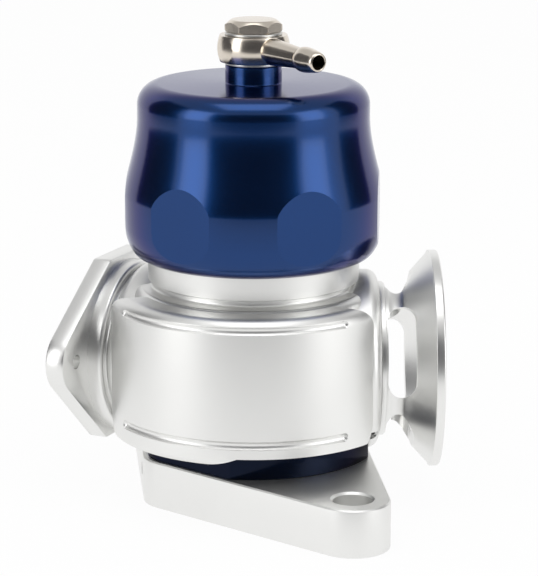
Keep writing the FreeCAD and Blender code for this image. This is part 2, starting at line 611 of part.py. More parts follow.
def side_plate():
    sl = math.radians(SIDE_SLOPE)
    reach = SIDE_EAR_S * math.sin(sl) + SIDE_EAR_R
    tip = reach / math.sin(sl)
    side = reach / math.cos(sl)
    z = SIDE_PLATE_START
    plate = Part.Face(Part.makePolygon([V(tip, 0, z), V(0, side, z), V(-tip, 0, z), V(0, -side, z), V(tip, 0, z)]))
    plate = plate.extrude(V(0, 0, SIDE_PLATE_T))
    plate = plate.makeFillet(SIDE_EAR_R, [e for e in upright_edges(plate) if abs(e.Vertexes[0].X) > tip / 2])
    plate.rotate(V(0, 0, 0), V(0, 0, 1), SIDE_TILT)
    slab = Part.makeBox(4 * tip, SIDE_TOP_FLAT + SIDE_LOW_FLAT, 3 * SIDE_PLATE_T, V(-2 * tip, -SIDE_LOW_FLAT, z - SIDE_PLATE_T))
    plate = plate.common(slab).removeSplitter()
    corners = [e for e in upright_edges(plate) if abs(e.Vertexes[0].Y - SIDE_TOP_FLAT) < 1e-3
               or abs(e.Vertexes[0].Y + SIDE_LOW_FLAT) < 1e-3]
    plate = plate.makeFillet(SIDE_CORNER_R, corners)
    return plate.makeChamfer(SIDE_EDGE, edge_at(plate, SIDE_PLATE_END) + edge_at(plate, SIDE_PLATE_START))


# Side flange: hub, two-ear plate, spigot into the body with a screw groove and a seal groove
step_start = BOSS_END + HUB_GAP
hub = turned([(SIDE_BORE_R, PORT_SPIGOT_END), (PORT_SPIGOT_R - SPIGOT_LEAD, PORT_SPIGOT_END),
              (PORT_SPIGOT_R, PORT_SPIGOT_END + SPIGOT_LEAD), (PORT_SPIGOT_R, step_start), (SIDE_STEP_R, step_start),
              (SIDE_STEP_R, SIDE_HUB_START), (SIDE_HUB_R - 0.9, SIDE_HUB_START), (SIDE_HUB_R, SIDE_HUB_START + 0.9),
              (SIDE_HUB_R, SIDE_PLATE_START + 1), (SIDE_BORE_R, SIDE_PLATE_START + 1)])
hub = hub.cut(port_vee).cut(port_ring)
flange = side_plate().fuse(hub).cut(cyl(SIDE_BORE_R, PORT_SPIGOT_END - 1, SIDE_PLATE_END + 1))
for sign in (-1, 1):
    hole = Part.makeCylinder(SIDE_BOLT_R, SIDE_PLATE_END, V(sign * SIDE_BOLT_S, 0, SIDE_HUB_START))
    flange = flange.cut(spin(hole, SIDE_TILT))
side_groove = 2 * SIDE_RING_W + 2 * FACE_LIP
flange = flange.cut(ring(SIDE_RING_R - 2 * SIDE_RING_W, SIDE_RING_R + 2 * SIDE_RING_W, SIDE_PLATE_END - side_groove,
                         SIDE_PLATE_END + 1))
save(port(flange, SIDE_AZ), "side_flange")
save(port(torus(SIDE_RING_R, SIDE_RING_W, SIDE_PLATE_END - SIDE_RING_W - FACE_LIP), SIDE_AZ), "side_face_seal")
save(port(torus(PORT_RING_R, PORT_RING_W, PORT_RING_PLACE), SIDE_AZ), "side_seal")

# Trumpet: spigot, collar, throat, cone, rim and four windows
collar_start = BOSS_END + FIT
collar_end = collar_start + COLLAR_T
throat = collar_start + THROAT_L
flare = collar_start + FLARE_L
rim_end = BOSS_END + TRUMPET_L
rim_start = rim_end - RIM_T
mouth = rim_end - MOUTH_DEPTH
trumpet = turned([(TRUMPET_WALL_R, PORT_SPIGOT_END), (PORT_SPIGOT_R - SPIGOT_LEAD, PORT_SPIGOT_END),
                  (PORT_SPIGOT_R, PORT_SPIGOT_END + SPIGOT_LEAD), (PORT_SPIGOT_R, collar_start), (COLLAR_R, collar_start),
                  (COLLAR_R, collar_end), (COLLAR_R - 0.3, collar_end + 0.2),
                  ("S", [(THROAT_R + 0.03, throat - 0.9), (THROAT_R, throat), (THROAT_R + 0.33, throat + 1.3),
                         (THROAT_R + 1.13, flare)]),
                  (RIM_R - 0.5, rim_start - 0.2), (RIM_R, rim_start), (RIM_R, rim_end - 0.4), (RIM_R - 0.4, rim_end),
                  (RIM_R - RIM_LIP + 0.4, rim_end), (RIM_R - RIM_LIP, rim_end - 0.4), (MOUTH_R, mouth),
                  ("S", [(MOUTH_R - 1.2, mouth - 1.3), (MOUTH_R - 2.0, mouth - 3.0), (MOUTH_R - 2.4, mouth - 4.9),
                         ((TRUMPET_WALL_R + MOUTH_R - 2.1) / 2, collar_start - 0.25), (TRUMPET_WALL_R, PORT_SPIGOT_END + 1.9)])])
trumpet = trumpet.cut(port_vee).cut(port_ring)
window_l = collar_start + WINDOW_PLACE - 0.05
window_x = WINDOW_HALF - WINDOW_W / 2
for i in range(WINDOWS):
    bar = Part.makeBox(2 * window_x, RIM_R + 5, WINDOW_W, V(-window_x, 0, window_l - WINDOW_W / 2))
    for sign in (-1, 1):
        bar = bar.fuse(Part.makeCylinder(WINDOW_W / 2, RIM_R + 5, V(sign * window_x, 0, window_l), V(0, 1, 0)))
    trumpet = trumpet.cut(spin(bar, 360 / WINDOWS * i - WINDOW_TURN))
save(port(trumpet, TRUMPET_AZ), "trumpet")
save(port(torus(PORT_RING_R, PORT_RING_W, PORT_RING_PLACE), TRUMPET_AZ), "trumpet_seal")

# Banjo fitting: ball eye with side facets and a barbed nipple
EYE_MID = (EYE_BOTTOM + EYE_TOP) / 2
barb = NIPPLE_END - BARB_L
eye = Part.makeSphere(EYE_R, V(0, 0, EYE_MID))
eye = eye.common(Part.makeBox(3 * EYE_R, 2 * EYE_HALF, EYE_T, V(-1.5 * EYE_R, -EYE_HALF, EYE_BOTTOM)))
nipple = turned([(0, BOLT_R + 0.5), (NIPPLE_COLLAR_R, BOLT_R + 0.5), (NIPPLE_COLLAR_R, COLLAR_END),
                 (NIPPLE_R, COLLAR_END + 0.5), (NIPPLE_R, barb),
                 ("S", [(NIPPLE_BARB_R - 0.16, barb + 0.7), (NIPPLE_BARB_R, barb + 1.8), (NIPPLE_BARB_R - 0.08, barb + 3.4)]),
                 (NIPPLE_R + 0.25, barb + 5.2), (NIPPLE_R, NIPPLE_END - 0.3), (NIPPLE_R - 0.3, NIPPLE_END), (0, NIPPLE_END)])
eye = eye.fuse(radial(nipple, 0, EYE_MID))
eye = eye.cut(Part.makeCylinder(NIPPLE_BORE_R, NIPPLE_END, V(BOLT_R, 0, EYE_MID), V(1, 0, 0)))
eye = eye.cut(cyl(BOLT_HOLE_R, EYE_BOTTOM - 1, EYE_TOP + 1))
eye = eye.cut(ring(BOLT_R - 0.1, EYE_RECESS_R, EYE_MID - EYE_RECESS_HALF, EYE_MID + EYE_RECESS_HALF))
save(spin(eye, NIPPLE_AZ), "banjo_fitting")
washer_in = BOLT_HOLE_R + 0.04
save(ring(washer_in, WASHER_R, BOSS_TOP + TOUCH / 2, EYE_BOTTOM - TOUCH), "lower_washer")
save(ring(washer_in, WASHER_R, EYE_TOP + TOUCH, HEAD_BOTTOM - TOUCH / 2), "upper_washer")

# Banjo bolt: drilled shank and chamfered hexagon head
corner_r = HEX_AF / math.sqrt(3)
hexagon = []
for i in range(7):
    a = math.radians(60 * i + 30)
    hexagon.append(V(corner_r * math.cos(a), corner_r * math.sin(a), HEAD_BOTTOM))
head = Part.Face(Part.makePolygon(hexagon)).extrude(V(0, 0, HEAD_H))
dome = turned([(0, HEAD_BOTTOM - 0.1), (corner_r - 0.57, HEAD_BOTTOM - 0.1), (corner_r + 0.03, HEAD_BOTTOM + 0.4),
               (corner_r + 0.03, HEAD_TOP - HEAD_ROUND), (corner_r - 1.47, HEAD_TOP), (0, HEAD_TOP)])
shank_low = CAP_ROOF + 0.5
bolt = spin(head.common(dome), HEAD_AZ)
bolt = bolt.fuse(turned([(0, shank_low), (BOLT_R - 0.5, shank_low), (BOLT_R, shank_low + 0.6),
                         (BOLT_R, HEAD_BOTTOM + 0.5), (0, HEAD_BOTTOM + 0.5)]))
bolt = bolt.cut(cyl(NIPPLE_BORE_R, shank_low - 1, EYE_MID + 1.2))
for az in (0, 90):
    cross = Part.makeCylinder(CROSS_R, 4 * BOLT_R, V(-2 * BOLT_R, 0, EYE_MID), V(1, 0, 0))
    bolt = bolt.cut(spin(cross, az))
save(bolt, "banjo_bolt")
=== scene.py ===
import math

import bpy
from bpy.props import FloatProperty, FloatVectorProperty, IntProperty, PointerProperty
from bpy.types import Operator, Panel, PropertyGroup
from mathutils import Matrix, Vector


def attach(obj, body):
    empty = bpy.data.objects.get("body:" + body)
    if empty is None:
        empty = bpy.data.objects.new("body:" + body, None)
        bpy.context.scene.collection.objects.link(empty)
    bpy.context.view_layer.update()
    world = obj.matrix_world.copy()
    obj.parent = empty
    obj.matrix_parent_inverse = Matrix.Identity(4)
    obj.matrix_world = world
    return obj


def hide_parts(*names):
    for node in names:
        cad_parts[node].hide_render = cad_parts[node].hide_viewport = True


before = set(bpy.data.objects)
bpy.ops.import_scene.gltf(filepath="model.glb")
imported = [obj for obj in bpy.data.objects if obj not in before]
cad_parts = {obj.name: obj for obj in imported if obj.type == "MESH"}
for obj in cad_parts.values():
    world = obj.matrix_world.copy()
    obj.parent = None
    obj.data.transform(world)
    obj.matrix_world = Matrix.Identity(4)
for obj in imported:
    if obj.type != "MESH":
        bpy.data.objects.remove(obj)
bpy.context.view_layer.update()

bl_info = {
    "name": "Piston blow-off valve",
    "version": (1, 0, 0),
    "blender": (4, 5, 0),
    "location": "View3D > Sidebar > Valve",
    "description": "Models and finishes a piston blow-off valve with two outlets",
    "category": "Object",
}

# Lengths in this script are millimetres, and MM turns them into Blender's metres
MM = 0.001
WELD = 0.0008 * MM
CUT = 0.0001 * MM

# Heights along the valve axis
SPIGOT_BOTTOM = 3.0
BASE_TOP = 10.8
POCKET_FLOOR = 13.5
BODY_BOTTOM = 14.8
PANEL_BOTTOM = 15.2
BORE_FLOOR = 15.5
SEAT_TOP = 16.0
SPACER_TOP = 16.95
NOTCH_TOP = 17.0
PISTON_FLOOR = 20.0
PORT_Z = 30.9
PANEL_TOP = 48.0
BODY_TOP = 48.4
NECK_BOTTOM = 50.2
CAP_BOTTOM = 55.7
PISTON_TOP = 57.0
NECK_TOP = 68.0
CAP_ROOF = 88.5
CROWN_BOTTOM = 89.0
CAP_TOP = 94.8
BOSS_TOP = 98.9
EYE_BOTTOM = 99.6
EYE_TOP = 105.5
HEAD_BOTTOM = 106.1
HEAD_TOP = 108.9

# Directions seen from above, in degrees from +X
TRUMPET_AZ = 12.8
SIDE_AZ = 167.2
EAR_AZ = -51.0
NIPPLE_AZ = -46.5
FLAT_AZ = -53.0
HEAD_AZ = -78.5
GRUB_AZ = (61.9, 196.7)

# How far a tool reaches past what it cuts, gaps between pieces that rest or fit, and chamfers
PAST = 1.0
NEAR = 0.01
SKIN = 0.02
FIT = 0.03
GAP = 0.1
CHAMFER = 0.5
LEAD_IN = 0.6

# Inlet flange: circle of its bolt holes, ears, corners, edges, holes, socket, and groove and seal of its face
FLANGE_HOLE = 46.2
FLANGE_EAR = 8.3
FLANGE_CORNER = 9.0
FLANGE_TOP_ROUND = 0.8
FLANGE_FOOT_ROUND = 0.3
BOLT_HOLE = 4.3
INLET_BORE = 14.5
INLET_LEDGE = 2.8
BASE_SOCKET = 20.06
FACE_GROOVE_IN = 16.6
FACE_GROOVE_OUT = 19.4
FACE_GROOVE_DEPTH = 1.45
FACE_SEAL_IN = 17.3
FACE_SEAL_OUT = 18.7
FACE_SEAL_ROUND = 0.6
GRUB_HOLE = 1.5
GRUB_FROM = 18.0
GRUB_TO = 34.0

# Spacer plates and the notch over them: how far their sides lie inside the inlet flange's, and the slope
SPACER_INSET = 1.1
SPACER_IN = 20.05
SPACER_OUT = 28.4
SPACER_ROOM = 20.45
SPACER_ROOM_FROM = 5
SPACER_SLOT = 6.5
SPACER_SLOT_FROM = 8
SPACER_SLOT_TO = 38
SPACER_TOOL = 40
NOTCH_INSET = -5.0
NOTCH_SLOPE = 3.4
NOTCH_TOOL = 5.0

# Body: spigot, core, shoulder, neck, bore of the piston, pocket of the seat, and the seat ring
SPIGOT = 20.0
SPIGOT_KEPT_TO = 30.0
CORE = 27.0
SHOULDER = 25.2
NECK_WAIST = 22.9
NECK = 23.9
PISTON_BORE = 19.0
BORE_TOOL_TOP = 60.0
SEAT_POCKET = 17.02
SEAT_IN = 14.1
SEAT_OUT = 17.0

# Front panel: its back, the degrees that it takes to either side, its rounded edges and its grooves
PANEL_BACK = 20.5
PANEL_HALF_SWEEP = 65.0
PANEL_TOP_ROUND = 3.2
PANEL_FOOT_ROUND = 1.2
PANEL_TOP_CORNER = 5.0
PANEL_FOOT_CORNER = 6.5
GROOVE_HALF_SWEEP = 49.0
GROOVE_HEIGHTS = (20.0, 45.8)
GROOVE_BEAD = 1.05
GROOVE_OUTSIDE = 0.35

# Ports: radii, and distances from the valve axis along the port's own
TRUMPET_PORT = 12.6
SIDE_PORT = 14.8
PORT_BOSS = 20.4
PORT_BOSS_ROUND = 2.6
PORT_BOSS_START = 12
PORT_START = 8
PORT_SOCKET = 16.5
SOCKET_FLOOR = 22.3
PORT_GRUBS = 26.3
PORT_FACE = 28.2
PORT_GRUB_TURNS = (-45, -135)
PORT_GRUB_FROM = 15
PORT_GRUB_TO = 24

# What both outlets put in their sockets
OUTLET_SPIGOT = 16.45
OUTLET_START = 22.6

# Side flange: its two faces, its ears and their lines, its tilt, its flat edges, its holes, and its face seal
SIDE_BACK = 32.5
SIDE_FACE = 37.0
SIDE_SLOPE = 37.9
SIDE_TILT = 4.0
SIDE_EAR = 7.2
SIDE_EAR_AT = 24.3
SIDE_CORNER = 2.0
SIDE_FLAT_TOP = 21.6
SIDE_FLAT_FOOT = -20.0
SIDE_EDGE = 0.4
SIDE_BORE = 14.0
SIDE_HOLE = 1.65
SIDE_HOLE_AT = 25.0
SIDE_GROOVE_IN = 15.7
SIDE_GROOVE_OUT = 18.3
SIDE_SEAL_IN = 16.38
SIDE_SEAL_OUT = 17.62
SIDE_SEAL_ROUND = 0.55

# Trumpet: its collar, its rim, its throat, and the windows round its neck
TRUMPET_COLLAR = 17.6
TRUMPET_THROAT = 12.7
RIM_BACK = 39.7
RIM_FACE = 41.9
WINDOWS = 4
WINDOW_WIDE = 6.3
WINDOW_HALF_LENGTH = 10.2
WINDOW_AT = 32.85
WINDOW_TURN = -20.0

# Cap: foot as steps inwards and up, waist, boss, hollow and thread
CAP_FOOT = ((3.7, 0.0), (2.5, 0.7), (1.45, 2.1), (0.65, 4.0), (0.15, 6.3), (0.0, 8.8))
WAIST_RISE = 13.9
WAIST_DROP = 7.2
WAIST_STEPS = 36
WAIST_EASE = 0.8
CAP_ROUND = 4.8
CAP_FLATS = 6
CAP_BOSS = 6.35
CAP_HOLLOW = 21.5
CAP_THREAD = 24.0
CAP_SEAT_GAP = 0.4

# Hose fitting: ball eye and its facets, nipple and barb, bolt and washers
EYE_BALL = 8.1
EYE_HALF_HEIGHT = 2.95
EYE_HALF_WIDTH = 7.55
NIPPLE_COLLAR = 2.9
NIPPLE_STEM = 2.2
NIPPLE_BORE = 1.6
BARB_START = 19.4
BARB_END = 26.4
BOLT_BORE = 4.06
BOLT_SHANK = 4.0
BOLT_END = 89.0
HEAD_ACROSS = 11.2
HEAD_DOME = 6.5
WASHER_IN = 4.1
WASHER_OUT = 6.4

# Piston: outside, hollow, crown seal, guide bands and seal groove
PISTON = 18.95
PISTON_HOLLOW = 15.6
CROWN_RISE = 1.0
CROWN_SEAL_IN = 13.2
CROWN_SEAL_OUT = 17.6
CROWN_SEAL_HEIGHT = 1.1
BAND_DEPTH = 18.0
BAND_HEIGHT = 4.0
LOWER_BAND = 22.0
UPPER_BAND = 47.5
SEAL_GROOVE = (53.6, 55.5)
SEAL_GROOVE_DEPTH = 17.3
GROOVE_TOOL = 20.0

# The floor, in metres: its width, and how far it lies under the valve
FLOOR_SIZE = 6.0
FLOOR_GAP = 0.00002

# The photograph's frame and the camera that took it
PHOTO_WIDTH = 538
PHOTO_HEIGHT = 576
PHOTO_AXIS_X = 257.0
PHOTO_AXIS_Y = 287.0
FOCAL_PIXELS = 2600.0
CAMERA_TURN = 11.5
CAMERA_RISE = 13.7
CAMERA_DISTANCE = 590.9
AIM_ASIDE = 0.77
AIM_HEIGHT = 47.73


class ValveSizes(PropertyGroup):
    cap_radius: FloatProperty(name="Cap radius", description="Radius of the cap at its shoulder",
                              default=29.25 * MM, min=0.02, max=0.04, unit="LENGTH")
    cap_top_radius: FloatProperty(name="Cap top radius", description="Radius of the cap near its top",
                                  default=26.05 * MM, min=0.02, max=0.04, unit="LENGTH")
    cap_flat: FloatProperty(name="Cap flats", description="Distance of the wrench flats from the axis",
                            default=28.2 * MM, min=0.02, max=0.04, unit="LENGTH")
    panel_radius: FloatProperty(name="Panel radius", description="Radius of the body's front panel",
                                default=33.0 * MM, min=0.03, max=0.04, unit="LENGTH")
    rim_radius: FloatProperty(name="Trumpet rim", description="Radius of the trumpet's rim",
                              default=24.7 * MM, min=0.02, max=0.03, unit="LENGTH")
    flange_half: FloatProperty(name="Inlet flange half width",
                               description="Half the width across its straight sides",
                               default=25.8 * MM, min=0.02, max=0.03, unit="LENGTH")
    turns: IntProperty(name="Steps round", description="Faces round a full turn of the large turned pieces",
                       default=180, min=48, max=256)


class ValveFinishes(PropertyGroup):
    blue: FloatVectorProperty(name="Blue", description="Dye of the anodised cap and spacer", size=3,
                              default=(0.003, 0.040, 0.170), min=0, max=1, subtype="COLOR")
    silver: FloatVectorProperty(name="Silver", description="Clear anodised aluminium", size=3,
                                default=(0.86, 0.86, 0.845), min=0, max=1, subtype="COLOR")
    nickel: FloatVectorProperty(name="Nickel", description="Plating of the hose fitting", size=3,
                                default=(0.76, 0.69, 0.60), min=0, max=1, subtype="COLOR")
    piston_grey: FloatVectorProperty(name="Piston", description="Hard anodised piston", size=3,
                                     default=(0.50, 0.50, 0.48), min=0, max=1, subtype="COLOR")
    satin: FloatProperty(name="Satin", description="Roughness of the blasted aluminium",
                         default=0.39, min=0, max=1)
    polish: FloatProperty(name="Polish", description="Roughness of the blue pieces",
                          default=0.25, min=0, max=1)


class StudioLight(PropertyGroup):
    left: FloatProperty(name="Left softbox", description="Power of the left softbox",
                        default=1.05, min=0, subtype="POWER")
    right: FloatProperty(name="Right softbox", description="Power of the right softbox",
                         default=0.95, min=0, subtype="POWER")
    top: FloatProperty(name="Overhead softbox", description="Power of the overhead softbox",
                       default=1.5, min=0, subtype="POWER")
    floor: FloatVectorProperty(name="Floor", description="Colour of the floor", size=3,
                               default=(0.93, 0.93, 0.93), min=0, max=1, subtype="COLOR")


def deselect():
    if bpy.context.object and bpy.context.object.mode != "OBJECT":
        bpy.ops.object.mode_set(mode="OBJECT")
    bpy.ops.object.select_all(action="DESELECT")


def pick(piece):
    """Makes piece the only selected object."""
    deselect()
    piece.select_set(True)
    bpy.context.view_layer.objects.active = piece


def rounded(points, step=9.0):
    """A line of points in which (a, b, radius) is a corner with that radius, drawn in steps of degrees."""
    out = []
    for number, point in enumerate(points):
        radius = point[2] if len(point) > 2 else 0.0
        here = Vector(point[:2])
        if radius <= 0:
            out.append(tuple(here))
            continue
        back = (Vector(points[number - 1][:2]) - here).normalized()
        ahead = (Vector(points[(number + 1) % len(points)][:2]) - here).normalized()
        half = back.angle(ahead) / 2
        reach = radius / math.tan(half)
        middle = here + (back + ahead).normalized() * (radius / math.sin(half))
        first = here + back * reach - middle
        sweep = math.pi - 2 * half
        turn = math.copysign(1.0, back.x * ahead.y - back.y * ahead.x)
        count = max(2, math.ceil(math.degrees(sweep) / step))
        for k in range(count + 1):
            angle = -turn * sweep * k / count
            spun = Vector((first.x * math.cos(angle) - first.y * math.sin(angle),
                           first.x * math.sin(angle) + first.y * math.cos(angle)))
            out.append(tuple(middle + spun))
    return out


def flowing(points, parts=6):
    """A smooth line through points, each span in that many parts."""
    knots = [Vector(p[:2]) for p in points]
    knots = [2 * knots[0] - knots[1]] + knots + [2 * knots[-1] - knots[-2]]
    out = []
    for a, b, c, d in zip(knots, knots[1:], knots[2:], knots[3:]):
        span = (c - b).length
        slope_b = ((b - a) / (b - a).length * span + (c - b)) / 2
        slope_c = ((c - b) + (d - c) / (d - c).length * span) / 2
        for k in range(parts):
            t = k / parts
            out.append(tuple(b * (2 * t**3 - 3 * t**2 + 1) + slope_b * (t**3 - 2 * t**2 + t)
                             + c * (3 * t**2 - 2 * t**3) + slope_c * (t**3 - t**2)))
    out.append(tuple(knots[-2]))
    return out


def trace(name, points):
    """A new piece: one vertex drawn through the points by extruding it."""
    deselect()
    bpy.ops.mesh.primitive_plane_add(size=MM)
    piece = bpy.context.object
    piece.name = name
    piece.data.name = name
    bpy.ops.object.mode_set(mode="EDIT")
    bpy.ops.mesh.select_mode(type="VERT")
    bpy.ops.mesh.select_all(action="SELECT")
    bpy.ops.mesh.merge(type="CENTER")
    bpy.ops.transform.translate(value=Vector(points[0]) * MM)
    for here, there in zip(points, points[1:]):
        move = (Vector(there) - Vector(here)) * MM
        bpy.ops.mesh.extrude_region_move(TRANSFORM_OT_translate={"value": move})
    bpy.ops.mesh.select_all(action="SELECT")
    return piece


def weld():
    """Merges doubles and turns the faces outwards, in edit mode, and leaves it."""
    bpy.ops.mesh.select_all(action="SELECT")
    bpy.ops.mesh.remove_doubles(threshold=WELD)
    bpy.ops.mesh.normals_make_consistent(inside=False)
    bpy.ops.object.mode_set(mode="OBJECT")


def lathe(name, profile, steps=None, sweep=360.0, start=0.0):
    """Spins a profile of (radius, height) about Z. It is closed unless both its ends are on the axis."""
    steps = steps or bpy.context.scene.valve_sizes.turns
    solid = profile[0][0] == 0 and profile[-1][0] == 0
    line = list(profile) if solid else list(profile) + [profile[0]]
    a = math.radians(start)
    piece = trace(name, [(r * math.cos(a), r * math.sin(a), z) for r, z in line])
    if not solid:
        bpy.ops.mesh.remove_doubles(threshold=WELD)
    if sweep < 360:
        bpy.ops.mesh.edge_face_add()
    bpy.ops.mesh.spin(steps=steps, angle=-math.radians(sweep), center=(0, 0, 0), axis=(0, 0, 1))
    weld()
    return piece


def plate(name, outline, low, high):
    """A flat piece with that outline, from height low to high."""
    closed = [(x, y, low) for x, y in outline] + [(outline[0][0], outline[0][1], low)]
    piece = trace(name, closed)
    bpy.ops.mesh.remove_doubles(threshold=WELD)
    bpy.ops.mesh.edge_face_add()
    bpy.ops.mesh.extrude_region_move(TRANSFORM_OT_translate={"value": (0, 0, (high - low) * MM)})
    weld()
    return piece


def choose_edges(piece, keep):
    """Opens piece for editing with the edges selected whose ends, in millimetres, both pass keep."""
    pick(piece)
    bpy.context.tool_settings.mesh_select_mode = (False, True, False)
    mesh = piece.data
    mesh.vertices.foreach_set("select", [False] * len(mesh.vertices))
    mesh.polygons.foreach_set("select", [False] * len(mesh.polygons))
    good = [keep(v.co / MM) for v in mesh.vertices]
    mesh.edges.foreach_set("select", [good[e.vertices[0]] and good[e.vertices[1]] for e in mesh.edges])
    bpy.ops.object.mode_set(mode="EDIT")


def round_edges(piece, keep, width, segments=3, shape=0.5):
    """Bevels the edges whose ends both pass keep."""
    choose_edges(piece, keep)
    bpy.ops.mesh.bevel(offset=width * MM, segments=segments, profile=shape, affect="EDGES")
    weld()


def rod(radius, low, high, steps=None):
    """A plain round tool along Z, from one height to the other."""
    return lathe("tool", [(0, low), (radius, low), (radius, high), (0, high)], steps)


def ring_profile(inner, outer, low, high, inside=0.0, outside=0.0, step=30.0):
    """Profile of a ring between two radii and two heights, with its inner and outer corners rounded."""
    corners = [(inner, low, inside), (outer, low, outside), (outer, high, outside), (inner, high, inside)]
    return rounded(corners, step)


def combine(piece, tool, operation):
    """Joins piece with tool, cuts it by tool or keeps what both hold, and removes tool."""
    pick(piece)
    bpy.ops.object.modifier_add(type="BOOLEAN")
    change = piece.modifiers[-1]
    change.operation = operation
    change.solver = "EXACT"
    change.object = tool
    bpy.ops.object.modifier_apply(modifier=change.name)
    bpy.data.objects.remove(tool)
    return piece


def place(piece, matrix):
    """Moves piece and writes its new place into its mesh."""
    piece.matrix_world = matrix
    pick(piece)
    bpy.ops.object.transform_apply(location=True, rotation=True, scale=True)
    return piece


def place_mirrored(piece, matrix):
    """As place, and turns the faces outwards again where the matrix mirrors."""
    place(piece, matrix)
    bpy.ops.object.mode_set(mode="EDIT")
    weld()
    return piece


def cut_flat(piece, out, at):
    """Cuts away what lies beyond the plane through the point at that faces out, and closes the cut."""
    pick(piece)
    bpy.ops.object.mode_set(mode="EDIT")
    bpy.ops.mesh.select_all(action="SELECT")
    bpy.ops.mesh.bisect(plane_co=at, plane_no=out, use_fill=True, clear_outer=True, threshold=CUT)
    bpy.ops.object.mode_set(mode="OBJECT")


def mean_y(piece):
    return sum(v.co.y for v in piece.data.vertices) / len(piece.data.vertices)


def shift(x=0.0, y=0.0, z=0.0):
    return Matrix.Translation(Vector((x, y, z)) * MM)


def turned(degrees, axis="Z"):
    return Matrix.Rotation(math.radians(degrees), 4, axis)


def on_port(azimuth):
    """Stands a piece that was made along Z on a port: its Z points out of the port and its Y stays up."""
    a = math.radians(azimuth)
    matrix = Matrix(((-math.sin(a), 0, math.cos(a)), (math.cos(a), 0, math.sin(a)), (0, 1, 0))).to_4x4()
    matrix.translation = Vector((0, 0, PORT_Z)) * MM
    return matrix


def level(azimuth, height):
    """Lays a piece that was made along Z level, pointing away from the valve axis."""
    return shift(z=height) @ turned(azimuth) @ turned(90, "Y")


def show(piece, material, body, nodes, smooth=28.0):
    """Finishes a piece: soft shading, material, the body it rides on and the CAD nodes that it stands for."""
    pick(piece)
    bpy.ops.object.shade_smooth_by_angle(angle=math.radians(smooth))
    piece.data.materials.clear()
    piece.data.materials.append(material)
    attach(piece, body)
    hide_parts(*nodes)


def diamond(inset):
    """Outline of the two-ear inlet flange, moved inwards by inset."""
    half = bpy.context.scene.valve_sizes.flange_half / MM
    beta = math.asin((half - FLANGE_EAR) / FLANGE_HOLE)
    tip = (half - inset) / math.sin(beta)
    side = (half - inset) / math.cos(beta)
    ear, corner = FLANGE_EAR - inset, FLANGE_CORNER - inset
    line = rounded([(tip, 0, ear), (0, side, corner), (-tip, 0, ear), (0, -side, corner)], step=5.0)
    a = math.radians(EAR_AZ)
    return [(x * math.cos(a) - y * math.sin(a), x * math.sin(a) + y * math.cos(a)) for x, y in line]


# Materials


def new_material(name):
    material = bpy.data.materials.new(name)
    material.use_nodes = True
    tree = material.node_tree
    return material, tree, tree.nodes["Principled BSDF"]


def add_node(tree, kind, **values):
    node = tree.nodes.new(kind)
    for key, value in values.items():
        if key in node.inputs:
            node.inputs[key].default_value = value
        else:
            setattr(node, key, value)
    return node


def along(tree, matrix):
    """Object coordinates turned so that Z runs along the piece's own axis."""
    place_of = add_node(tree, "ShaderNodeTexCoord")
    mapping = add_node(tree, "ShaderNodeMapping", vector_type="TEXTURE")
    mapping.inputs["Location"].default_value = matrix.to_translation()
    mapping.inputs["Rotation"].default_value = matrix.to_euler()
    tree.links.new(place_of.outputs["Object"], mapping.inputs["Vector"])
    return mapping.outputs["Vector"]


def ranged(tree, value, low, high):
    """value, from 0 to 1, spread between low and high."""
    spread = add_node(tree, "ShaderNodeMapRange")
    spread.inputs["To Min"].default_value = low
    spread.inputs["To Max"].default_value = high
    tree.links.new(value, spread.inputs["Value"])
    return spread.outputs["Result"]


def noise(tree, vector, scale, detail=3.0, roughness=0.55):
    cloud = add_node(tree, "ShaderNodeTexNoise", Scale=scale, Detail=detail, Roughness=roughness)
    tree.links.new(vector, cloud.inputs["Vector"])
    return cloud.outputs["Fac"]


def rings(tree, vector, spacing):
    """Fine rings as a lathe tool leaves them: a pattern of the distance from the axis and the height."""
    parts = add_node(tree, "ShaderNodeSeparateXYZ")
    tree.links.new(vector, parts.inputs["Vector"])
    flat = add_node(tree, "ShaderNodeCombineXYZ")
    tree.links.new(parts.outputs["X"], flat.inputs["X"])
    tree.links.new(parts.outputs["Y"], flat.inputs["Y"])
    radius = add_node(tree, "ShaderNodeVectorMath", operation="LENGTH")
    tree.links.new(flat.outputs["Vector"], radius.inputs[0])
    both = add_node(tree, "ShaderNodeCombineXYZ")
    tree.links.new(radius.outputs["Value"], both.inputs["X"])
    tree.links.new(parts.outputs["Z"], both.inputs["Y"])
    return noise(tree, both.outputs["Vector"], scale=1 / (spacing * MM), detail=2.0, roughness=0.5)


def tinted(tree, shader, value, colour, spread):
    """Lets the base colour vary a little with value."""
    mix = add_node(tree, "ShaderNodeMix", data_type="RGBA")
    dark = [c * (1 - spread) for c in colour]
    mix.inputs["A"].default_value = (*dark, 1)
    mix.inputs["B"].default_value = (*colour, 1)
    tree.links.new(value, mix.inputs["Factor"])
    tree.links.new(mix.outputs["Result"], shader.inputs["Base Color"])


def bumped(tree, shader, value, depth):
    bump = add_node(tree, "ShaderNodeBump", Strength=1.0, Distance=depth * MM)
    tree.links.new(value, bump.inputs["Height"])
    tree.links.new(bump.outputs["Normal"], shader.inputs["Normal"])


def satin_silver(name, matrix, roughness, colour, lines=0.0, line_depth=0.0):
    """Clear anodised aluminium with slight clouds, and a fine grain or, where it was turned, faint rings."""
    material, tree, shader = new_material(name)
    shader.inputs["Metallic"].default_value = 1.0
    vector = along(tree, matrix)
    clouds = noise(tree, vector, scale=60.0)
    tinted(tree, shader, clouds, colour, spread=0.05)
    sway = 0.035
    rough = ranged(tree, clouds, roughness - sway, roughness + sway)
    tree.links.new(rough, shader.inputs["Roughness"])
    if lines:
        bumped(tree, shader, rings(tree, vector, lines), line_depth)
    else:
        bumped(tree, shader, noise(tree, vector, scale=5200.0, detail=2.0), depth=0.0035)
    return material


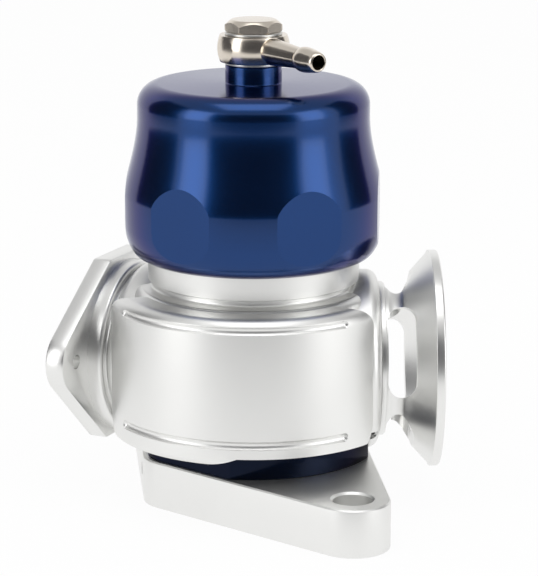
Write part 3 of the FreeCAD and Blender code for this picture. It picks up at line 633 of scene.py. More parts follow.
def blue_anodised(name, finishes, depth=1.0):
    """Polished aluminium dyed deep blue under a clear skin, with faint rings. depth scales the dye; a low
    depth with a thinner coat gives a nearly black tone that is partly dark dye and partly painted shade.
    """
    material, tree, shader = new_material(name)
    shader.inputs["Metallic"].default_value = 1.0
    shader.inputs["Specular Tint"].default_value = (0.16, 0.20, 0.42, 1)
    # A thinner coat where the dye is low dims the reflections, as part of the painted shade on the spacer
    # plates.
    shader.inputs["Coat Weight"].default_value = 1.0 if depth == 1.0 else 0.35
    shader.inputs["Coat IOR"].default_value = 1.35
    shader.inputs["Coat Roughness"].default_value = 0.14
    vector = along(tree, Matrix.Identity(4))
    clouds = noise(tree, vector, scale=45.0)
    tinted(tree, shader, clouds, [c * depth for c in finishes.blue], spread=0.12)
    rough = ranged(tree, clouds, finishes.polish - 0.02, finishes.polish + 0.03)
    tree.links.new(rough, shader.inputs["Roughness"])
    bumped(tree, shader, rings(tree, vector, spacing=0.16), depth=0.0006)
    return material


def bright_nickel(name, finishes):
    material, tree, shader = new_material(name)
    shader.inputs["Metallic"].default_value = 1.0
    vector = along(tree, Matrix.Identity(4))
    clouds = noise(tree, vector, scale=220.0, detail=4.0)
    tinted(tree, shader, clouds, finishes.nickel, spread=0.10)
    rough = ranged(tree, clouds, low=0.15, high=0.25)
    tree.links.new(rough, shader.inputs["Roughness"])
    bumped(tree, shader, noise(tree, vector, scale=900.0, detail=2.0), depth=0.004)
    return material


def plain_metal(name, colour, roughness):
    material, tree, shader = new_material(name)
    shader.inputs["Metallic"].default_value = 1.0
    vector = along(tree, Matrix.Identity(4))
    grain = noise(tree, vector, scale=400.0)
    tinted(tree, shader, grain, colour, spread=0.15)
    sway = 0.06
    tree.links.new(ranged(tree, grain, roughness - sway, roughness + sway), shader.inputs["Roughness"])
    bumped(tree, shader, grain, depth=0.004)
    return material


def soft_polymer(name, colour, roughness):
    material, tree, shader = new_material(name)
    vector = along(tree, Matrix.Identity(4))
    grain = noise(tree, vector, scale=700.0)
    tinted(tree, shader, grain, colour, spread=0.35)
    sway = 0.08
    tree.links.new(ranged(tree, grain, roughness - sway, roughness + sway), shader.inputs["Roughness"])
    bumped(tree, shader, grain, depth=0.01)
    return material


def material_named(name):
    """The finish of that name, made the first time that it is asked for."""
    if name in bpy.data.materials:
        return bpy.data.materials[name]
    finishes = bpy.context.scene.valve_finishes
    upright = Matrix.Identity(4)
    silver = tuple(finishes.silver)
    grey = tuple(finishes.piston_grey)
    makers = {
        "blue anodised": lambda: blue_anodised(name, finishes),
        # Spacer plates: a tenth of the dye and a thin coat make them nearly black, partly their own dark
        # anodise and partly painted shade of the gap under the body.
        "dark anodised and painted shade": lambda: blue_anodised(name, finishes, depth=0.10),
        "satin silver": lambda: satin_silver(name, upright, finishes.satin, silver),
        "turned silver": lambda: satin_silver(name, upright, 0.24, silver, lines=0.22, line_depth=0.0015),
        "side silver": lambda: satin_silver(name, on_port(SIDE_AZ), 0.34, silver, lines=0.25,
                                            line_depth=0.0015),
        "trumpet silver": lambda: satin_silver(name, on_port(TRUMPET_AZ), 0.32, silver, lines=0.25,
                                               line_depth=0.0012),
        "piston grey": lambda: satin_silver(name, upright, 0.30, grey, lines=0.2, line_depth=0.002),
        "bright nickel": lambda: bright_nickel(name, finishes),
        "spring wire": lambda: plain_metal(name, (0.45, 0.46, 0.48), roughness=0.30),
        "bright steel": lambda: plain_metal(name, (0.66, 0.66, 0.65), roughness=0.38),
        "black steel": lambda: plain_metal(name, (0.05, 0.05, 0.055), roughness=0.42),
        "soft washer": lambda: plain_metal(name, (0.70, 0.70, 0.69), roughness=0.35),
        "seal rubber": lambda: soft_polymer(name, (0.022, 0.022, 0.024), roughness=0.55),
        "bearing polymer": lambda: soft_polymer(name, (0.30, 0.17, 0.08), roughness=0.5),
    }
    return makers[name]()


# Pieces


class VALVE_OT_base(Operator):
    """Models the inlet flange with its bolt holes, socket and seal groove"""
    bl_idname = "valve.base"
    bl_label = "Inlet flange"

    def execute(self, context):
        flange = plate("inlet_flange", diamond(0.0), 0.0, BASE_TOP)
        round_edges(flange, lambda p: p.z > BASE_TOP - NEAR, FLANGE_TOP_ROUND, segments=3, shape=0.62)
        round_edges(flange, lambda p: p.z < NEAR, FLANGE_FOOT_ROUND, segments=2)
        ear = math.radians(EAR_AZ)
        for sign in (-1, 1):
            hole = lathe("hole", [(0, -PAST), (BOLT_HOLE, -PAST), (BOLT_HOLE, BASE_TOP - CHAMFER),
                                  (BOLT_HOLE + CHAMFER + PAST, BASE_TOP + PAST), (0, BASE_TOP + PAST)], 72)
            place(hole, shift(FLANGE_HOLE * sign * math.cos(ear), FLANGE_HOLE * sign * math.sin(ear)))
            combine(flange, hole, "DIFFERENCE")
        inlet = [(0, -PAST), (INLET_BORE + CHAMFER, -PAST), (INLET_BORE, 0.0), (INLET_BORE, INLET_LEDGE),
                 (BASE_SOCKET, INLET_LEDGE), (BASE_SOCKET, BASE_TOP + PAST), (0, BASE_TOP + PAST)]
        combine(flange, lathe("inlet", inlet), "DIFFERENCE")
        groove = ring_profile(FACE_GROOVE_IN, FACE_GROOVE_OUT, -PAST, FACE_GROOVE_DEPTH)
        combine(flange, lathe("groove", groove), "DIFFERENCE")
        for azimuth in GRUB_AZ:
            hole = rod(GRUB_HOLE, GRUB_FROM, GRUB_TO, steps=40)
            combine(flange, place(hole, level(azimuth, BASE_TOP / 2)), "DIFFERENCE")
        show(flange, material_named("satin silver"), "base", ["base_flange"])
        profile = ring_profile(FACE_SEAL_IN, FACE_SEAL_OUT, FIT, FACE_GROOVE_DEPTH - SKIN,
                               FACE_SEAL_ROUND, FACE_SEAL_ROUND, step=15)
        seal = lathe("inlet_face_seal", profile)
        show(seal, material_named("seal rubber"), "base", ["base_face_seal"])
        return {"FINISHED"}


def panel_block(radius):
    """The thick curved panel on the body's front, with rounded corners and a rounded rim."""
    profile = rounded([(PANEL_BACK, PANEL_BOTTOM), (radius, PANEL_BOTTOM, PANEL_FOOT_ROUND),
                       (radius, PANEL_TOP, PANEL_TOP_ROUND), (PANEL_BACK, PANEL_TOP)], 12.0)
    block = lathe("panel", profile, 104, 2 * PANEL_HALF_SWEEP, -90 - PANEL_HALF_SWEEP)
    outside, near, far = 3.0, 14.0, 42.0
    for side in (-1, 1):
        for edge, sign, size in ((PANEL_TOP, 1, PANEL_TOP_CORNER), (PANEL_BOTTOM, -1, PANEL_FOOT_CORNER)):
            over = edge + outside * sign
            under = edge - (size + PAST) * sign
            corner = [(-outside, over), (-outside, under), (0.0, under), (0.0, edge, size),
                      (size + PAST, edge), (size + PAST, over)]
            cutter = plate("corner", rounded(corner, 6.0), near, far)
            upright = Matrix(((0, 0, 1), (1, 0, 0), (0, 1, 0))).to_4x4()
            flip = Matrix.Scale(-1, 4, Vector((0, 1, 0))) if side == 1 else Matrix.Identity(4)
            place_mirrored(cutter, turned(-90 + side * PANEL_HALF_SWEEP) @ flip @ upright)
            combine(block, cutter, "DIFFERENCE")
    return block


def notch_tool():
    """What the notch over the spacer plates takes away, with sloped ends. It leaves the spigot."""
    notch = plate("notch", diamond(NOTCH_INSET), BODY_BOTTOM - NOTCH_TOOL, BODY_BOTTOM - SKIN)
    choose_edges(notch, lambda p: p.z > BODY_BOTTOM - GAP)
    bpy.ops.mesh.select_mode(type="FACE")
    bpy.ops.mesh.inset(thickness=NOTCH_SLOPE * MM)
    bpy.ops.transform.translate(value=(0, 0, (NOTCH_TOP - BODY_BOTTOM) * MM))
    weld()
    return combine(notch, rod(SPIGOT, 0, SPIGOT_KEPT_TO), "DIFFERENCE")


def groove_tool(radius, height):
    """A bead along the panel with round ends, which cuts a fine groove with a ball-nosed shape."""
    circle = []
    for k in range(20):
        a = math.radians(18 * k)
        circle.append((radius + GROOVE_BEAD * math.cos(a), height + GROOVE_BEAD * math.sin(a)))
    bead = lathe("groove", circle, 78, 2 * GROOVE_HALF_SWEEP, -90 - GROOVE_HALF_SWEEP)
    for side in (-1, 1):
        a = math.radians(-90 + side * GROOVE_HALF_SWEEP)
        middle = Vector((radius * math.cos(a), radius * math.sin(a), height)) * MM
        deselect()
        bpy.ops.mesh.primitive_uv_sphere_add(segments=28, ring_count=18, radius=GROOVE_BEAD * MM,
                                             location=middle)
        end = bpy.context.object
        bpy.ops.object.transform_apply(location=True, rotation=True, scale=True)
        combine(bead, end, "UNION")
    return bead


class VALVE_OT_body(Operator):
    """Models the valve body: core, front panel, port bosses, neck, spigot, bores and grooves"""
    bl_idname = "valve.body"
    bl_label = "Body"

    def execute(self, context):
        radius = context.scene.valve_sizes.panel_radius / MM
        panel = panel_block(radius)
        outer = [(INLET_BORE, SPIGOT_BOTTOM), (SPIGOT - CHAMFER, SPIGOT_BOTTOM),
                 (SPIGOT, SPIGOT_BOTTOM + CHAMFER), (SPIGOT, BODY_BOTTOM),
                 (CORE, BODY_BOTTOM, 1.6), (CORE, BODY_TOP, 2.4), (SHOULDER, BODY_TOP),
                 (NECK_WAIST, BODY_TOP + 0.4, 0.7), (NECK_WAIST, NECK_BOTTOM, 0.25), (NECK, NECK_BOTTOM, 0.3),
                 (NECK, NECK_TOP - LEAD_IN), (NECK - LEAD_IN, NECK_TOP), (PISTON_BORE, NECK_TOP),
                 (PISTON_BORE, BORE_FLOOR), (SEAT_POCKET, BORE_FLOOR), (SEAT_POCKET, POCKET_FLOOR),
                 (INLET_BORE, POCKET_FLOOR)]
        body = lathe("body", rounded(outer, 10.0))
        combine(body, panel, "UNION")
        combine(body, notch_tool(), "DIFFERENCE")
        self.add_bosses(body)
        combine(body, rod(PISTON_BORE, BORE_FLOOR, BORE_TOOL_TOP), "DIFFERENCE")
        self.cut_ports(body)
        for height in GROOVE_HEIGHTS:
            combine(body, groove_tool(radius + GROOVE_OUTSIDE, height), "DIFFERENCE")
        show(body, material_named("satin silver"), "body", ["valve_body"], smooth=24.0)
        seat_low = POCKET_FLOOR + SKIN
        profile = rounded([(SEAT_IN, seat_low), (SEAT_OUT, seat_low), (SEAT_OUT, SEAT_TOP - 0.4, 0.3),
                           (16.4, SEAT_TOP, 0.2), (15.2, SEAT_TOP, 0.2), (SEAT_IN, SEAT_TOP - 0.7, 0.3)], 20)
        seat = lathe("seat", profile, 120)
        show(seat, material_named("turned silver"), "body", ["seat_ring"])
        return {"FINISHED"}

    def add_bosses(self, body):
        wide = 50
        square = [(-wide, -wide), (wide, -wide), (wide, wide), (-wide, wide)]
        profile = rounded([(0, PORT_BOSS_START), (PORT_BOSS, PORT_BOSS_START),
                           (PORT_BOSS, PORT_FACE, PORT_BOSS_ROUND), (0, PORT_FACE)], 10.0)
        for azimuth in (TRUMPET_AZ, SIDE_AZ):
            boss = place(lathe("boss", profile, 144), on_port(azimuth))
            combine(boss, plate("below", square, 0, BASE_TOP + GAP), "DIFFERENCE")
            combine(body, boss, "UNION")

    def cut_ports(self, body):
        for azimuth, port in ((TRUMPET_AZ, TRUMPET_PORT), (SIDE_AZ, SIDE_PORT)):
            tool = [(0, PORT_START), (port, PORT_START), (port, SOCKET_FLOOR), (PORT_SOCKET, SOCKET_FLOOR),
                    (PORT_SOCKET, PORT_FACE - CHAMFER), (PORT_SOCKET + 2 * CHAMFER, PORT_FACE + CHAMFER),
                    (0, PORT_FACE + CHAMFER)]
            combine(body, place(lathe("port", tool, 120), on_port(azimuth)), "DIFFERENCE")
            for turn in PORT_GRUB_TURNS:
                hole = rod(GRUB_HOLE, PORT_GRUB_FROM, PORT_GRUB_TO, steps=32)
                matrix = on_port(azimuth) @ shift(z=PORT_GRUBS) @ turned(turn) @ turned(90, "Y")
                combine(body, place(hole, matrix), "DIFFERENCE")


class VALVE_OT_spacer(Operator):
    """Models the two spacer plates between the inlet flange and the body, nearly black: partly dark anodise,
    partly painted shade of the gap under the body
    """
    bl_idname = "valve.spacer"
    bl_label = "Spacer"

    def execute(self, context):
        profile = ring_profile(SPACER_IN, SPACER_OUT, BASE_TOP + SKIN, SPACER_TOP, outside=0.3)
        spacer = lathe("spacer", profile)
        sides = plate("sides", diamond(SPACER_INSET), BASE_TOP - 2 * PAST, SPACER_TOP + 2 * PAST)
        combine(spacer, sides, "INTERSECT")
        opening = [(-SPACER_SLOT, -SPACER_TOOL), (SPACER_SLOT, -SPACER_TOOL),
                   (SPACER_SLOT, 0), (-SPACER_SLOT, 0)]
        for azimuth in (TRUMPET_AZ, SIDE_AZ):
            room = rod(SPACER_ROOM, SPACER_ROOM_FROM, SPACER_TOOL, steps=120)
            combine(spacer, place(room, on_port(azimuth)), "DIFFERENCE")
            slot = plate("slot", opening, SPACER_SLOT_FROM, SPACER_SLOT_TO)
            combine(spacer, place(slot, on_port(azimuth)), "DIFFERENCE")
        pick(spacer)
        bpy.ops.object.mode_set(mode="EDIT")
        bpy.ops.mesh.select_all(action="SELECT")
        bpy.ops.mesh.separate(type="LOOSE")
        bpy.ops.object.mode_set(mode="OBJECT")
        halves = sorted(context.selected_objects, key=mean_y)
        if len(halves) != 2:
            raise RuntimeError(f"the spacer came apart in {len(halves)} pieces")
        for half, name in zip(halves, ("spacer_front", "spacer_rear")):
            half.name = name + "_plate"
            # Nearly black finish: partly dark anodise, partly painted shade under the body.
            show(half, material_named("dark anodised and painted shade"), "body", [name])
        return {"FINISHED"}


class VALVE_OT_cap(Operator):
    """Models the blue cap with its shoulder, wrench flats and top boss"""
    bl_idname = "valve.cap"
    bl_label = "Cap"

    def execute(self, context):
        sizes = context.scene.valve_sizes
        wide = sizes.cap_radius / MM
        slim = sizes.cap_top_radius / MM
        foot = flowing([(wide - inwards, CAP_BOTTOM + rise) for inwards, rise in CAP_FOOT], 5)
        waist_low, waist_high = CAP_BOTTOM + WAIST_RISE, CAP_TOP - WAIST_DROP
        waist = []
        for k in range(WAIST_STEPS + 1):
            t = (k / WAIST_STEPS) ** WAIST_EASE
            waist.append((wide - (wide - slim) * t * t * (3 - 2 * t),
                          waist_low + (waist_high - waist_low) * k / WAIST_STEPS))
        seat_z = NECK_TOP + CAP_SEAT_GAP
        crown = rounded([(slim, CROWN_BOTTOM), (slim, CAP_TOP, CAP_ROUND), (CAP_BOSS, CAP_TOP, 0.25),
                         (CAP_BOSS, BOSS_TOP, 0.4), (BOLT_BORE, BOSS_TOP, 0.15), (BOLT_BORE, CAP_ROOF),
                         (CAP_HOLLOW, CAP_ROOF, 2.0), (CAP_HOLLOW, seat_z), (CAP_THREAD, seat_z),
                         (CAP_THREAD, CAP_BOTTOM, 0.3)], 6.0)
        cap = lathe("cap_shell", foot + waist + crown[1:])
        for k in range(CAP_FLATS):
            a = math.radians(FLAT_AZ + 360 / CAP_FLATS * k)
            out = Vector((math.cos(a), math.sin(a), 0))
            cut_flat(cap, out, out * sizes.cap_flat)
        show(cap, material_named("blue anodised"), "body", ["cap"], smooth=7.0)
        return {"FINISHED"}


def ear_outline():
    """Outline of the side flange: two round ears on slopes that meet its flat top and bottom edges."""
    slope = math.radians(SIDE_SLOPE)
    tilt = math.radians(SIDE_TILT)
    reach = SIDE_EAR_AT * math.sin(slope) + SIDE_EAR
    tip = reach / math.sin(slope)
    peak = reach / math.cos(slope)
    ears = [(s * tip * math.cos(tilt), s * tip * math.sin(tilt)) for s in (1, -1)]
    peaks = [(-peak * math.sin(tilt) * s, peak * math.cos(tilt) * s) for s in (1, -1)]

    def meet(ear, top, height):
        t = (height - ear[1]) / (top[1] - ear[1])
        return (ear[0] + (top[0] - ear[0]) * t, height, SIDE_CORNER)

    right, left = ears
    upper, lower = peaks
    outline = [(*right, SIDE_EAR), meet(right, upper, SIDE_FLAT_TOP), meet(left, upper, SIDE_FLAT_TOP),
               (*left, SIDE_EAR), meet(left, lower, SIDE_FLAT_FOOT), meet(right, lower, SIDE_FLAT_FOOT)]
    return rounded(outline, 6.0)


class VALVE_OT_side(Operator):
    """Models the side outlet flange"""
    bl_idname = "valve.side"
    bl_label = "Side flange"

    def execute(self, context):
        flange = plate("side_outlet_flange", ear_outline(), SIDE_BACK, SIDE_FACE)
        round_edges(flange, lambda p: p.z > SIDE_FACE - NEAR, SIDE_EDGE, segments=2)
        round_edges(flange, lambda p: p.z < SIDE_BACK + NEAR, SIDE_EDGE, segments=2)
        hub = rounded([(13.0, OUTLET_START), (OUTLET_SPIGOT - LEAD_IN, OUTLET_START),
                       (OUTLET_SPIGOT, OUTLET_START + LEAD_IN), (OUTLET_SPIGOT, 28.3), (18.4, 28.3),
                       (18.4, 28.9), (20.0, 28.9, 0.9), (20.0, SIDE_BACK + GAP), (19.0, SIDE_BACK + 1.0),
                       (13.0, SIDE_BACK + 1.0)], 12.0)
        combine(flange, lathe("hub", hub, 144), "UNION")
        bore = [(0, 20), (SIDE_BORE, 20), (SIDE_BORE, SIDE_FACE - 0.4), (SIDE_BORE + 0.9, SIDE_FACE + 0.5),
                (0, SIDE_FACE + 0.5)]
        combine(flange, lathe("bore", bore, 144), "DIFFERENCE")
        tapped = [(0, 25), (SIDE_HOLE, 25), (SIDE_HOLE, SIDE_FACE - 0.2),
                  (SIDE_HOLE + 0.55, SIDE_FACE + 0.35), (0, SIDE_FACE + 0.35)]
        for sign in (-1, 1):
            hole = lathe("hole", tapped, 40)
            combine(flange, place(hole, turned(SIDE_TILT) @ shift(x=SIDE_HOLE_AT * sign)), "DIFFERENCE")
        groove_floor = SIDE_FACE - 1.3
        groove = ring_profile(SIDE_GROOVE_IN, SIDE_GROOVE_OUT, groove_floor, SIDE_FACE + 2.0)
        combine(flange, lathe("groove", groove, 144), "DIFFERENCE")
        place(flange, on_port(SIDE_AZ))
        show(flange, material_named("side silver"), "side", ["side_flange"])
        profile = ring_profile(SIDE_SEAL_IN, SIDE_SEAL_OUT, groove_floor + SKIN, SIDE_FACE - 0.05,
                               SIDE_SEAL_ROUND, SIDE_SEAL_ROUND, step=15)
        seal = place(lathe("side_face_ring", profile, 120), on_port(SIDE_AZ))
        show(seal, material_named("seal rubber"), "side", ["side_face_seal"])
        return {"FINISHED"}


class VALVE_OT_trumpet(Operator):
    """Models the venting trumpet with its four windows"""
    bl_idname = "valve.trumpet"
    bl_label = "Trumpet"

    def execute(self, context):
        rim = context.scene.valve_sizes.rim_radius / MM
        stem = rounded([(TRUMPET_THROAT, OUTLET_START), (OUTLET_SPIGOT - LEAD_IN, OUTLET_START),
                        (OUTLET_SPIGOT, OUTLET_START + LEAD_IN), (OUTLET_SPIGOT, 28.25),
                        (TRUMPET_COLLAR, 28.25, 0.2), (TRUMPET_COLLAR, 29.9, 0.2)], 30)
        waist = flowing([(17.3, 30.1), (17.0, 31.0), (16.97, 31.9), (17.3, 33.2), (18.1, 34.2)], 5)
        lip = rounded([(24.2, RIM_BACK), (rim, RIM_BACK + 0.2, 0.15), (rim, RIM_FACE, 0.45),
                       (rim - 1.2, RIM_FACE, 0.45), (16.6, 35.9)], 15)
        inside = flowing([(16.6, 35.9), (15.4, 34.6), (14.6, 32.9), (14.2, 31.0), (13.6, 28.0),
                          (TRUMPET_THROAT, 24.5)], 5)
        horn = lathe("venting_trumpet", stem + waist + lip + inside[1:], 168)
        half = WINDOW_WIDE / 2
        end = half - 0.01
        slot = rounded([(WINDOW_HALF_LENGTH, half, end), (-WINDOW_HALF_LENGTH, half, end),
                        (-WINDOW_HALF_LENGTH, -half, end), (WINDOW_HALF_LENGTH, -half, end)], 7.5)
        upright = Matrix(((1, 0, 0), (0, 0, 1), (0, 1, 0))).to_4x4()
        for k in range(WINDOWS):
            window = plate("window", slot, 0, 30)
            place_mirrored(window, turned(360 / WINDOWS * k + WINDOW_TURN) @ shift(z=WINDOW_AT) @ upright)
            combine(horn, window, "DIFFERENCE")
        place(horn, on_port(TRUMPET_AZ))
        show(horn, material_named("trumpet silver"), "trumpet", ["trumpet"])
        return {"FINISHED"}


class VALVE_OT_banjo(Operator):
    """Models the banjo eye with its barbed nipple, the banjo bolt and their washers"""
    bl_idname = "valve.banjo"
    bl_label = "Hose fitting"

    def execute(self, context):
        self.model_eye(context)
        self.model_bolt()
        washers = {
            "lower_washer": (BOSS_TOP + NEAR, EYE_BOTTOM - SKIN),
            "upper_washer": (EYE_TOP + SKIN, HEAD_BOTTOM - NEAR),
        }
        for name, (low, high) in washers.items():
            washer = lathe(name + "_ring", ring_profile(WASHER_IN, WASHER_OUT, low, high, outside=0.15), 96)
            show(washer, material_named("soft washer"), "body", [name])
        return {"FINISHED"}

    def model_eye(self, context):
        deselect()
        bpy.ops.mesh.primitive_uv_sphere_add(segments=120, ring_count=80, radius=EYE_BALL * MM,
                                             location=(0, 0, 0))
        eye = context.object
        eye.name = "banjo_eye"
        for normal, reach in (((0, 0, 1), EYE_HALF_HEIGHT), ((0, 0, -1), EYE_HALF_HEIGHT),
                              ((0, 1, 0), EYE_HALF_WIDTH), ((0, -1, 0), EYE_HALF_WIDTH)):
            out = Vector(normal)
            cut_flat(eye, out, out * reach * MM)
        stem = [(0, 4.5)] + rounded([(3.3, 4.5), (NIPPLE_COLLAR, 7.6), (NIPPLE_COLLAR, 8.7, 0.3),
                                     (NIPPLE_STEM, 9.2, 0.3), (NIPPLE_STEM, BARB_START - 0.2, 0.4)], 15)
        barb = flowing([(2.25, BARB_START), (2.62, 20.0), (2.78, 21.0), (2.7, 22.6), (2.45, 24.4),
                        (NIPPLE_STEM, 25.8), (1.95, BARB_END - 0.1), (1.7, BARB_END)], 4)
        end = [(NIPPLE_BORE, BARB_END - 0.1), (0, BARB_END - 0.1)]
        nipple = lathe("nipple", stem + barb + end, 72)
        combine(eye, place(nipple, turned(90, "Y")), "UNION")
        combine(eye, place(rod(NIPPLE_BORE, 4.0, 30.0, steps=48), turned(90, "Y")), "DIFFERENCE")
        combine(eye, rod(BOLT_BORE, -5, 5, steps=96), "DIFFERENCE")
        place(eye, shift(z=(EYE_BOTTOM + EYE_TOP) / 2) @ turned(NIPPLE_AZ))
        show(eye, material_named("bright nickel"), "banjo", ["banjo_fitting"], smooth=25.0)

    def model_bolt(self):
        corner = HEAD_ACROSS / math.sqrt(3)
        corners = []
        for k in range(6):
            a = math.radians(60 * k + 30)
            corners.append((corner * math.cos(a), corner * math.sin(a), 0.25))
        head = plate("banjo_screw", rounded(corners, 15), HEAD_BOTTOM, HEAD_TOP)
        dome = rounded([(0, HEAD_BOTTOM), (5.9, HEAD_BOTTOM), (HEAD_DOME, HEAD_BOTTOM + 0.4),
                        (HEAD_DOME, HEAD_TOP - 1.3, 0.4), (5.0, HEAD_TOP, 1.0), (0, HEAD_TOP)], 8)
        dome = [(0, HEAD_BOTTOM)] + dome[1:-1] + [(0, HEAD_TOP)]
        combine(head, lathe("dome", dome, 144), "INTERSECT")
        place(head, turned(HEAD_AZ))
        shank = [(0, BOLT_END), (BOLT_SHANK - 0.5, BOLT_END), (BOLT_SHANK, BOLT_END + 0.6),
                 (BOLT_SHANK, HEAD_BOTTOM + 0.5), (0, HEAD_BOTTOM + 0.5)]
        combine(head, lathe("shank", shank, 72), "UNION")
        show(head, material_named("bright nickel"), "body", ["banjo_bolt"], smooth=20.0)


class VALVE_OT_piston(Operator):
    """Models the piston, seen through the outlets and from below"""
    bl_idname = "valve.piston"
    bl_label = "Piston"

    def execute(self, context):
        crown = SEAT_TOP + CROWN_RISE
        ledge = SEAT_TOP + CROWN_SEAL_HEIGHT
        wall = rounded([(0, crown), (12.2, crown, 0.4), (12.8, SEAT_TOP, 0.2), (CROWN_SEAL_IN, SEAT_TOP),
                        (CROWN_SEAL_IN, ledge), (CROWN_SEAL_OUT, ledge), (CROWN_SEAL_OUT, SEAT_TOP),
                        (18.3, SEAT_TOP, 0.2), (PISTON, SEAT_TOP + 0.65, 0.2),
                        (PISTON, PISTON_TOP - CHAMFER, 0.2), (PISTON - CHAMFER, PISTON_TOP, 0.2),
                        (PISTON_HOLLOW, PISTON_TOP, 0.3),
                        (PISTON_HOLLOW, PISTON_FLOOR, 1.8), (0, PISTON_FLOOR)], 15)
        wall = [(0, crown)] + wall[1:-1] + [(0, PISTON_FLOOR)]
        piston = lathe("piston_shell", wall)
        for low, high, depth in ((LOWER_BAND, LOWER_BAND + BAND_HEIGHT, BAND_DEPTH),
                                 (UPPER_BAND, UPPER_BAND + BAND_HEIGHT, BAND_DEPTH),
                                 (*SEAL_GROOVE, SEAL_GROOVE_DEPTH)):
            combine(piston, lathe("groove", ring_profile(depth, GROOVE_TOOL, low, high)), "DIFFERENCE")
        show(piston, material_named("piston grey"), "piston", ["piston"])
        profile = rounded([(CROWN_SEAL_IN + SKIN, SEAT_TOP), (CROWN_SEAL_OUT - SKIN, SEAT_TOP, 0.3),
                           (CROWN_SEAL_OUT - SKIN, ledge - SKIN), (CROWN_SEAL_IN + SKIN, ledge - SKIN)], 30)
        face = lathe("crown_ring", profile)
        show(face, material_named("seal rubber"), "piston", ["crown_seal"])
        for name, low in (("lower_band", LOWER_BAND), ("upper_band", UPPER_BAND)):
            top = low + BAND_HEIGHT - FIT
            profile = ring_profile(BAND_DEPTH + SKIN, PISTON + NEAR, low + FIT, top, outside=0.15)
            strip = lathe(name + "_strip", profile)
            show(strip, material_named("bearing polymer"), "piston", [name])
        return {"FINISHED"}


KEPT_NODES = {
    "base_grub_screws": "black steel",
    "side_grub_screws": "black steel",
    "trumpet_grub_screws": "bright steel",
    "spigot_seal": "seal rubber",
    "cap_seal": "seal rubber",
    "side_seal": "seal rubber",
    "trumpet_seal": "seal rubber",
    "piston_seal": "seal rubber",
    "spring_seat": "turned silver",
    "thrust_washer": "black steel",
    "spring": "spring wire",
}


class VALVE_OT_inner(Operator):
    """Gives the inner pieces that keep their CAD shape their finish"""
    bl_idname = "valve.inner"
    bl_label = "Inner pieces"

    def execute(self, context):
        for name, finish in KEPT_NODES.items():
            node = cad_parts[name]
            node.data.materials.clear()
            node.data.materials.append(material_named(finish))
        return {"FINISHED"}


# Stage


def aim(thing, place_at, target):
    thing.location = place_at
    thing.rotation_euler = (Vector(target) - Vector(place_at)).to_track_quat("-Z", "Y").to_euler()


def seen_from(turn, rise):
    """Unit vector from the valve towards a viewer turned to the right of -Y and raised, in degrees."""
    a, e = math.radians(turn), math.radians(rise)
    return Vector((math.sin(a) * math.cos(e), -math.cos(a) * math.cos(e), math.sin(e)))


def softbox(name, turn, rise, distance, wide, tall, power, target=(0, 0, 0.05)):
    lamp = bpy.data.lights.new(name, "AREA")
    lamp.shape = "RECTANGLE"
    lamp.size = wide
    lamp.size_y = tall
    lamp.energy = power
    thing = bpy.data.objects.new(name, lamp)
    bpy.context.scene.collection.objects.link(thing)
    aim(thing, Vector(target) + seen_from(CAMERA_TURN + turn, rise) * distance, target)
    return thing


def studio_world(scene):
    """White walls all round and a greyer ceiling."""
    world = bpy.data.worlds.new("studio")
    world.use_nodes = True
    scene.world = world
    tree = world.node_tree
    parts = add_node(tree, "ShaderNodeSeparateXYZ")
    tree.links.new(add_node(tree, "ShaderNodeTexCoord").outputs["Generated"], parts.inputs["Vector"])
    ceiling = add_node(tree, "ShaderNodeMapRange", interpolation_type="SMOOTHSTEP")
    spread = {"From Min": 0.42, "From Max": 0.72, "To Min": 1.0, "To Max": 0.60}
    for socket, value in spread.items():
        ceiling.inputs[socket].default_value = value
    tree.links.new(parts.outputs["Z"], ceiling.inputs["Value"])
    tree.links.new(ceiling.outputs["Result"], tree.nodes["Background"].inputs["Color"])


def dark_card(name, turn, distance, wide, tall):
    """A dark card that stands on the floor round the valve and shows only as a reflection in its metal."""
    material = bpy.data.materials.get("dark card") or new_material("dark card")[0]
    shader = material.node_tree.nodes["Principled BSDF"]
    shader.inputs["Base Color"].default_value = (0.06, 0.06, 0.065, 1)
    shader.inputs["Roughness"].default_value = 0.95
    deselect()
    bpy.ops.mesh.primitive_plane_add(size=1.0)
    card = bpy.context.object
    card.name = name
    card.scale = (wide, tall, 1.0)
    foot = seen_from(CAMERA_TURN + turn, 0.0) * distance
    aim(card, foot + Vector((0, 0, tall / 2)), (0, 0, tall / 2))
    card.visible_camera = False
    card.visible_diffuse = False
    card.visible_shadow = False
    card.data.materials.append(material)


def floor_material(colour):
    material, tree, shader = new_material("studio floor")
    shader.inputs["Base Color"].default_value = (*colour, 1)
    shader.inputs["Roughness"].default_value = 0.9
    shader.inputs["Specular IOR Level"].default_value = 0.1
    glow = tree.nodes.new("ShaderNodeEmission")
    glow.inputs["Color"].default_value = (1, 1, 1, 1)
    mix = tree.nodes.new("ShaderNodeMixShader")
    rays = tree.nodes.new("ShaderNodeLightPath")
    shown = rays.outputs["Is Camera Ray"]
    for kind in ("Is Glossy Ray", "Is Transmission Ray"):
        either = add_node(tree, "ShaderNodeMath", operation="MAXIMUM")
        tree.links.new(shown, either.inputs[0])
        tree.links.new(rays.outputs[kind], either.inputs[1])
        shown = either.outputs["Value"]
    share = add_node(tree, "ShaderNodeMath", operation="MULTIPLY")
    share.inputs[1].default_value = 0.94
    tree.links.new(shown, share.inputs[0])
    tree.links.new(share.outputs["Value"], mix.inputs["Fac"])
    tree.links.new(shader.outputs["BSDF"], mix.inputs[1])
    tree.links.new(glow.outputs["Emission"], mix.inputs[2])
    tree.links.new(mix.outputs["Shader"], tree.nodes["Material Output"].inputs["Surface"])
    return material


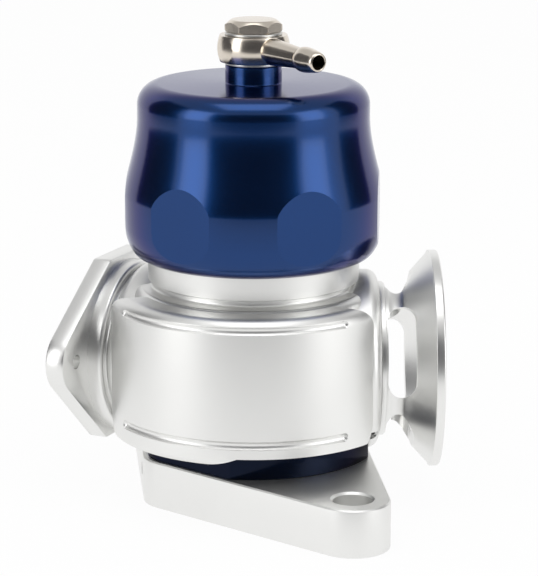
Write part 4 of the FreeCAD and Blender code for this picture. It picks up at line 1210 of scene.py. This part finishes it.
class VALVE_OT_stage(Operator):
    """Sets the floor, the lamps, the world and the camera"""
    bl_idname = "valve.stage"
    bl_label = "Stage"

    def execute(self, context):
        scene = context.scene
        light = scene.studio_light
        scene.view_settings.view_transform = "Standard"
        deselect()
        bpy.ops.mesh.primitive_plane_add(size=FLOOR_SIZE, location=(0, 0, -FLOOR_GAP))
        floor = context.object
        floor.name = "studio_floor"
        floor.data.materials.append(floor_material(light.floor))
        softbox("left_softbox", turn=-57.0, rise=18.0, distance=0.75, wide=0.34, tall=0.55, power=light.left)
        softbox("right_softbox", turn=59.0, rise=18.0, distance=0.75, wide=0.34, tall=0.55, power=light.right)
        softbox("overhead_softbox", turn=0.0, rise=77.0, distance=0.80, wide=0.62, tall=0.50, power=light.top)
        dark_card("front_card", turn=0.0, distance=0.50, wide=0.88, tall=0.42)
        dark_card("left_card", turn=-100.0, distance=0.60, wide=0.50, tall=0.62)
        dark_card("right_card", turn=106.0, distance=0.60, wide=0.34, tall=0.62)
        studio_world(scene)
        lens = bpy.data.cameras.new("camera")
        lens.sensor_fit = "HORIZONTAL"
        lens.lens = FOCAL_PIXELS / PHOTO_WIDTH * lens.sensor_width
        lens.shift_x = (PHOTO_WIDTH / 2 - PHOTO_AXIS_X) / PHOTO_WIDTH
        lens.shift_y = (PHOTO_AXIS_Y - PHOTO_HEIGHT / 2) / PHOTO_WIDTH
        lens.clip_start = 0.01
        lens.clip_end = 20.0
        camera = bpy.data.objects.new("camera", lens)
        scene.collection.objects.link(camera)
        right = Vector((math.cos(math.radians(CAMERA_TURN)), math.sin(math.radians(CAMERA_TURN)), 0))
        target = (right * AIM_ASIDE + Vector((0, 0, AIM_HEIGHT))) * MM
        aim(camera, target + seen_from(CAMERA_TURN, CAMERA_RISE) * CAMERA_DISTANCE * MM, target)
        scene.camera = camera
        return {"FINISHED"}


class VALVE_PT_sidebar(Panel):
    bl_label = "Valve"
    bl_idname = "VALVE_PT_sidebar"
    bl_space_type = "VIEW_3D"
    bl_region_type = "UI"
    bl_category = "Valve"

    def draw(self, context):
        for group in (context.scene.valve_sizes, context.scene.valve_finishes, context.scene.studio_light):
            box = self.layout.box()
            for key in group.bl_rna.properties.keys():
                if key not in ("rna_type", "name"):
                    box.prop(group, key)
        for operator in OPERATORS:
            self.layout.operator(operator.bl_idname)


OPERATORS = (VALVE_OT_stage, VALVE_OT_base, VALVE_OT_body, VALVE_OT_spacer, VALVE_OT_cap, VALVE_OT_side,
             VALVE_OT_trumpet, VALVE_OT_banjo, VALVE_OT_piston, VALVE_OT_inner)
CLASSES = (ValveSizes, ValveFinishes, StudioLight, *OPERATORS, VALVE_PT_sidebar)


def register():
    for item in CLASSES:
        bpy.utils.register_class(item)
    bpy.types.Scene.valve_sizes = PointerProperty(type=ValveSizes)
    bpy.types.Scene.valve_finishes = PointerProperty(type=ValveFinishes)
    bpy.types.Scene.studio_light = PointerProperty(type=StudioLight)


def unregister():
    del bpy.types.Scene.studio_light
    del bpy.types.Scene.valve_finishes
    del bpy.types.Scene.valve_sizes
    for item in reversed(CLASSES):
        bpy.utils.unregister_class(item)


def main():
    register()
    for operator in OPERATORS:
        group, name = operator.bl_idname.split(".")
        getattr(getattr(bpy.ops, group), name)()


if __name__ == "__main__":
    main()
